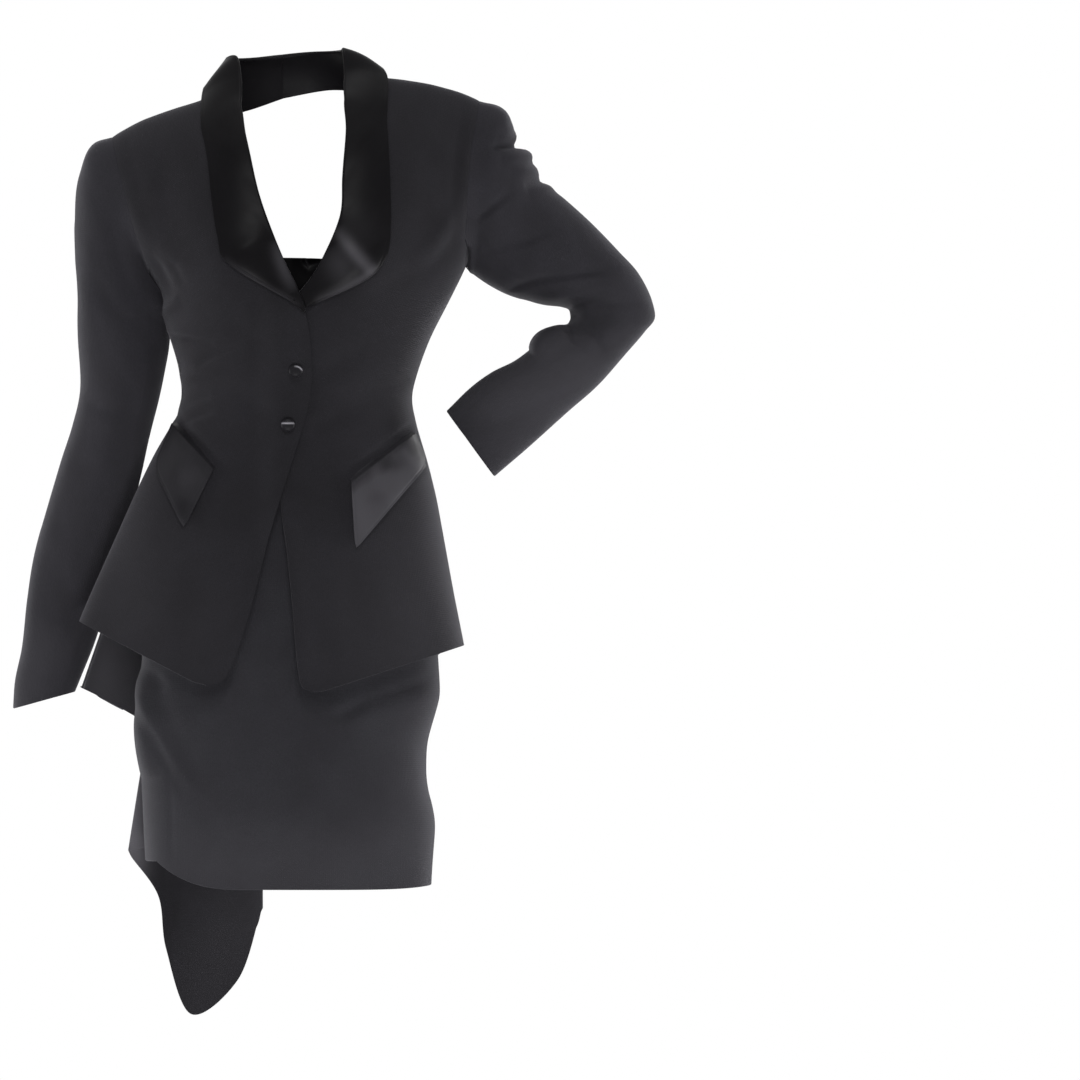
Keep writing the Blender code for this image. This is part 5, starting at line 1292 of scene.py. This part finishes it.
for name, rows, lip, folds, painted_highlights in [
        ("bow_upper_loop", UPPER_LOOP, LOOP_LIP, UPPER_LOOP_CREASES, UPPER_LOOP_PAINTED_HIGHLIGHTS),
        ("bow_lower_loop", LOWER_LOOP, 0.0, LOWER_LOOP_CREASES, LOWER_LOOP_PAINTED_HIGHLIGHTS)]:
    turn = np.linspace(0, 2 * math.pi, LOOP_ROUND, endpoint=False)[None, :]
    one_x, one_z, two_x, two_z, lift, depth = upright(spread(rows, LOOP_RINGS))
    x, z = swung(one_x, two_x, np.cos(turn)), swung(one_z, two_z, np.cos(turn))
    middle_x = (one_x + two_x) / 2
    outside = np.clip(2 * np.sin(turn), 0, 1)
    fold = creases(x, z, folds) * outside
    y = clear_back_y(middle_x + (x - middle_x) * LOOP_FOLLOW, z) + lift + depth * np.sin(turn) + fold
    rings_left = (LOOP_RINGS - 1 - np.arange(LOOP_RINGS))[:, None] / LOOP_RIM_RINGS
    near_lip = np.clip(2 * np.linspace(0, 1, LOOP_RINGS) - 1, 0, 1)[:, None]
    points = np.stack([x, y, z - lip * near_lip * near_lip * np.sin(turn)], axis=2)
    normals = outward(points)
    # Painted highlights on the loop's outside and along its open rim.
    made = cloth(name, points, normals, SATIN_THICK, gathered_skin, closed=True,
                 painted_light=creases(x, z, painted_highlights) * outside + LOOP_RIM_PAINTED_HIGHLIGHT * np.exp(-rings_left ** 2))
    sew(made, name)

# ==================================================================================== train
# Below the bow hangs a cascade of the crepe: one bias-cut sheet folded to and fro, longest at its
# middle, with a narrow rolled hem.
TRAIN_THICK = 0.0015
TRAIN_GRID = (90, 360)
TRAIN_TOP = -0.458
TRAIN_SPREAD = 0.8
TRAIN_RISE = 1.6
TRAIN_WAVES = (61, 0.14, 0.0012)
TRAIN_SMOOTH = 6
# Folds in the order of the cloth: top x, hem x, hem z, lift off the form at the top and at the hem.
TRAIN_FOLDS = metres(
    (-60, -80, -800, 5, 7), (-100, -130, -822, 5, 8), (-114, -180, -834, 5.8, 11),
    (-115, -186, -840, 7.8, 15), (-108, -155, -885, 8.3, 16.5), (-98, -146, -945, 8.8, 18),
    (-75, -118, -1018, 9, 19), (-50, -66, -980, 9.6, 20), (-42, -42, -908, 13, 26), (-42, -41, -904, 17, 34),
    (-52, -52, -926, 20, 40), (-75, -95, -898, 21, 42), (-101, -128, -874, 20.2, 40),
    (-103, -131, -866, 18.2, 36), (-93, -121, -845, 16.5, 32), (-91, -119, -830, 14.5, 28),
    (-99, -131, -800, 12.7, 24.5), (-110, -154, -812, 12.4, 24), (-118, -174, -824, 12.2, 23.5))
# Painted light on the train: broad over its lower folds, and strong along its outermost fold on the
# wearer's right, which lies in shade.
TRAIN_PAINTED_LIGHT = metres(
    (-30, -820, -75, -940, -140, -1090, 100, 55, 55), (-182, -690, -187, -800, -180, -880, 800, 16, 16))
TRAIN_CREASES = metres(
    (-85, -440, -100, -529.6, -112.8, -640, 3.6, 4, 8), (-62, -440, -68, -540, -72, -700, 2.2, 6, 9),
    (-115.7, -500, -127, -607.7, -125.6, -720, -3.4, 6, 9),
    (-158.3, -529.6, -161.1, -579.3, -165.4, -629, 1.8, 5, 8),
    (-80, -700, -86, -800, -82, -900, -1.6, 12, 16))
v = np.linspace(0, 1, TRAIN_GRID[0])[:, None]
top_x, hem_x, hem_z, top_lift, hem_lift = spread(TRAIN_FOLDS, TRAIN_GRID[1]).T[:, None]
z = TRAIN_TOP + (hem_z - TRAIN_TOP) * v
x = top_x + (hem_x - top_x) * v ** TRAIN_SPREAD
y = form_y(0.0, z, True) + top_lift + (hem_lift - top_lift) * np.minimum(v * TRAIN_RISE, 1)
y = y + creases(x, z, TRAIN_CREASES) + unevenness(x, z, *TRAIN_WAVES) * np.clip(v * TRAIN_SMOOTH, 0, 1)
points = np.stack([x, y, z], axis=2)
# Painted light on the train.
made = cloth("train", points, normals_of(points), TRAIN_THICK, crepe_skin, painted_light=creases(x, z, TRAIN_PAINTED_LIGHT))
sew(made, "train")

# ==================================================================================== skirt
# A slim knee-length skirt of the crepe: one front panel and two backs with the zip between them, sewn
# to a plain waistband that the jacket hides.
SKIRT_GRID = (120, 130)
SKIRT_BACK_GRID = 60
# Sizes by height: height, right edge x, left edge x, front y, back y.
SKIRT = metres(
    (-347, -114, 118, -87, 77), (-370, -118, 124, -88, 81), (-420, -134, 138, -95, 96),
    (-480, -148, 149, -102, 111), (-540, -158, 154, -106, 119), (-600, -164, 158, -108, 120),
    (-660, -169, 162, -109, 117), (-715, -172, 146, -109, 113), (-765, -171, 148, -108, 110),
    (-800, -169, 156, -107, 108), (-840, -166, 153, -105, 106), (-875, -164, 151, -104, 104))
SKIRT_MIDDLE_Y = 0.004
SKIRT_SEAMS = (-97.0, 97.0, 160.0)
# The hem rises on the right by this much, from this distance, over this width, by this power. On the
# left its tip rises by the last two.
HEM_RISE = (0.031, 0.050, 0.102, 3)
HEM_TIP = (0.004, 6)
SKIRT_MIDDLE = (0, SKIRT_MIDDLE_Y, -0.6)
SKIRT_WAVES = (71, 0.16, 0.0010)
BAND_TOP = -0.318
BAND_THICK = 0.0025
BAND_GRID = (14, 180)
SKIRT_CREASES = metres(
    (-176, -560, -174, -655, -166, -750, 16, 14, 14), (-180, -585, -172, -680, -108, -770, 2.6, 4, 7),
    (-184, -600, -178, -690, -118, -776, -1.8, 4, 4), (-166, -600, -150, -676, -90, -770, -1.4, 8, 10),
    (-114, -777, -89, -805, -61, -821, -1.4, 10.8, 13.5), (-139, -740, -137, -790, -134, -850, -1.2, 3, 4),
    (50, -676, 100, -662, 158, -640, -4.4, 7, 9), (55, -692, 105, -678, 164, -658, 2.6, 9, 11),
    (20, -668, 50, -698, 86, -660, -3.4, 6, 8), (-178, -616, -161, -635, -144, -655, -3, 7, 7))
# The skirt is painted paler by a share all over, with more painted light toward its hem and its
# sides, and painted shadow, less of the pale share, under the jacket's hems.
SKIRT_PAINTED_BASE = 0.035
SKIRT_PAINTED_LIGHT_AND_SHADOW = metres(
    (-195, -606, -144, -640, -84, -660, -45, 10, 6), (-118, -652, -80, -664, -64, -620, -45, 8, 6),
    (4, -626, 8, -674, 75, -655, -45, 10, 6), (20, -668, 100, -650, 178, -612, -45, 10, 6),
    (-180, -830, 0, -885, 160, -830, 90, 60, 60), (150, -660, 150, -760, 150, -880, 60, 45, 45))
SKIRT_BACK_CREASES = metres(
    (137, -643, 119, -655, 104, -669, -4.1, 6.8, 8.1), (140, -665, 123, -665, 109, -665, -3.4, 5.4, 6.8),
    (-2, -756, 41, -793, 83, -831, 2.4, 10.8, 13.5), (161, -773, 140, -740, 97, -690, -3.1, 12.1, 16.2),
    (-150, -690, -120, -700, -90, -690, -2.7, 9.5, 12.1),
    (-155, -760, -110, -790, -60, -840, 1.7, 13.5, 16.2))
skirt_at = reader(SKIRT, FORM_BLUR)


def skirt_points(turn_degrees, heights):
    """Points of the skirt's outer face: rounded rings of the skirt's sizes by height.

    Turn 0 is the centre front and 90 the wearer's left. A point lies half the width times sin^(2/n)
    to the side and the depth times cos^(2/n) to the front or back. The hem rises to the right.
    """
    turn = np.radians(np.asarray(turn_degrees, dtype=float))[None, :]
    share = np.asarray(heights, dtype=float)[:, None]
    power = 2 / ROUNDNESS
    swing = np.sign(np.sin(turn)) * np.abs(np.sin(turn)) ** power
    low = SKIRT[-1][0]
    right, left = SKIRT[-1][1:3]
    reach = swung(left, right, swing)
    rise, start, width, bend = HEM_RISE
    low = low + rise * ramp(-reach, start, width) ** bend
    low = low + HEM_TIP[0] * np.clip(reach / left, 0, 1) ** HEM_TIP[1]
    z = SKIRT[0][0] + (low - SKIRT[0][0]) * share
    right, left, front, back = (skirt_at(k, z) for k in range(1, 5))
    x = swung(left, right, swing)
    forward = np.cos(turn)
    depth = np.where(forward > 0, SKIRT_MIDDLE_Y - front, back - SKIRT_MIDDLE_Y)
    y = SKIRT_MIDDLE_Y - np.sign(forward) * depth * np.abs(forward) ** power
    return np.stack([x, y, z], axis=2)


def skirt_with_folds(turns, heights):
    """The skirt's points and normals, folded in front and behind, and its painted light and shadow."""
    points = skirt_points(turns, heights)
    normals = outward(points, SKIRT_MIDDLE)
    x, z = points[:, :, 0], points[:, :, 2]
    height, toward_front = round_creases(x, z, normals, SKIRT_CREASES, SKIRT_BACK_CREASES)
    height = height + unevenness(x, z, *SKIRT_WAVES)
    # Painted light and painted shadow on the front of the skirt, over a paler share all over.
    painted_light = SKIRT_PAINTED_BASE + creases(x, z, SKIRT_PAINTED_LIGHT_AND_SHADOW) * toward_front
    return *raised(points, normals, height, SKIRT_MIDDLE), painted_light


# The skirt's crepe is a paler copy of the jacket's: painted light for the light low down.
skirt_skin = crepe("black_wool_crepe_skirt_painted_paler", "#222125", "#2b2b2f")
right_seam, left_seam, back_seam = SKIRT_SEAMS
for name, start, end, columns, neighbours in [
        ("skirt_front", right_seam, left_seam, SKIRT_GRID[1], ["skirt_waistband"]),
        ("skirt_left_back", left_seam, back_seam, SKIRT_BACK_GRID, ["skirt_front", "skirt_waistband"]),
        ("skirt_right_back", back_seam, right_seam + 360, SKIRT_GRID[1],
         ["skirt_front", "skirt_left_back", "skirt_waistband"])]:
    turns = np.linspace(start, end, columns)
    points, normals, painted_light = skirt_with_folds(turns, np.linspace(0, 1, SKIRT_GRID[0]))
    made = cloth(name, points, normals, CREPE_THICK, skirt_skin, sewn="tlr", painted_light=painted_light)
    sew(made, name)

turns = np.linspace(-180, 180, BAND_GRID[1], endpoint=False)
edge = skirt_points(turns, [0.0])[0]
points = np.repeat(edge[None], BAND_GRID[0], axis=0)
points[:, :, 2] = np.linspace(BAND_TOP, SKIRT[0][0] + SEAM_GAP, BAND_GRID[0])[:, None]
normals = outward(points)
made = cloth("skirt_waistband", points, normals, BAND_THICK, skirt_skin, closed=True)
sew(made, "skirt_waistband")
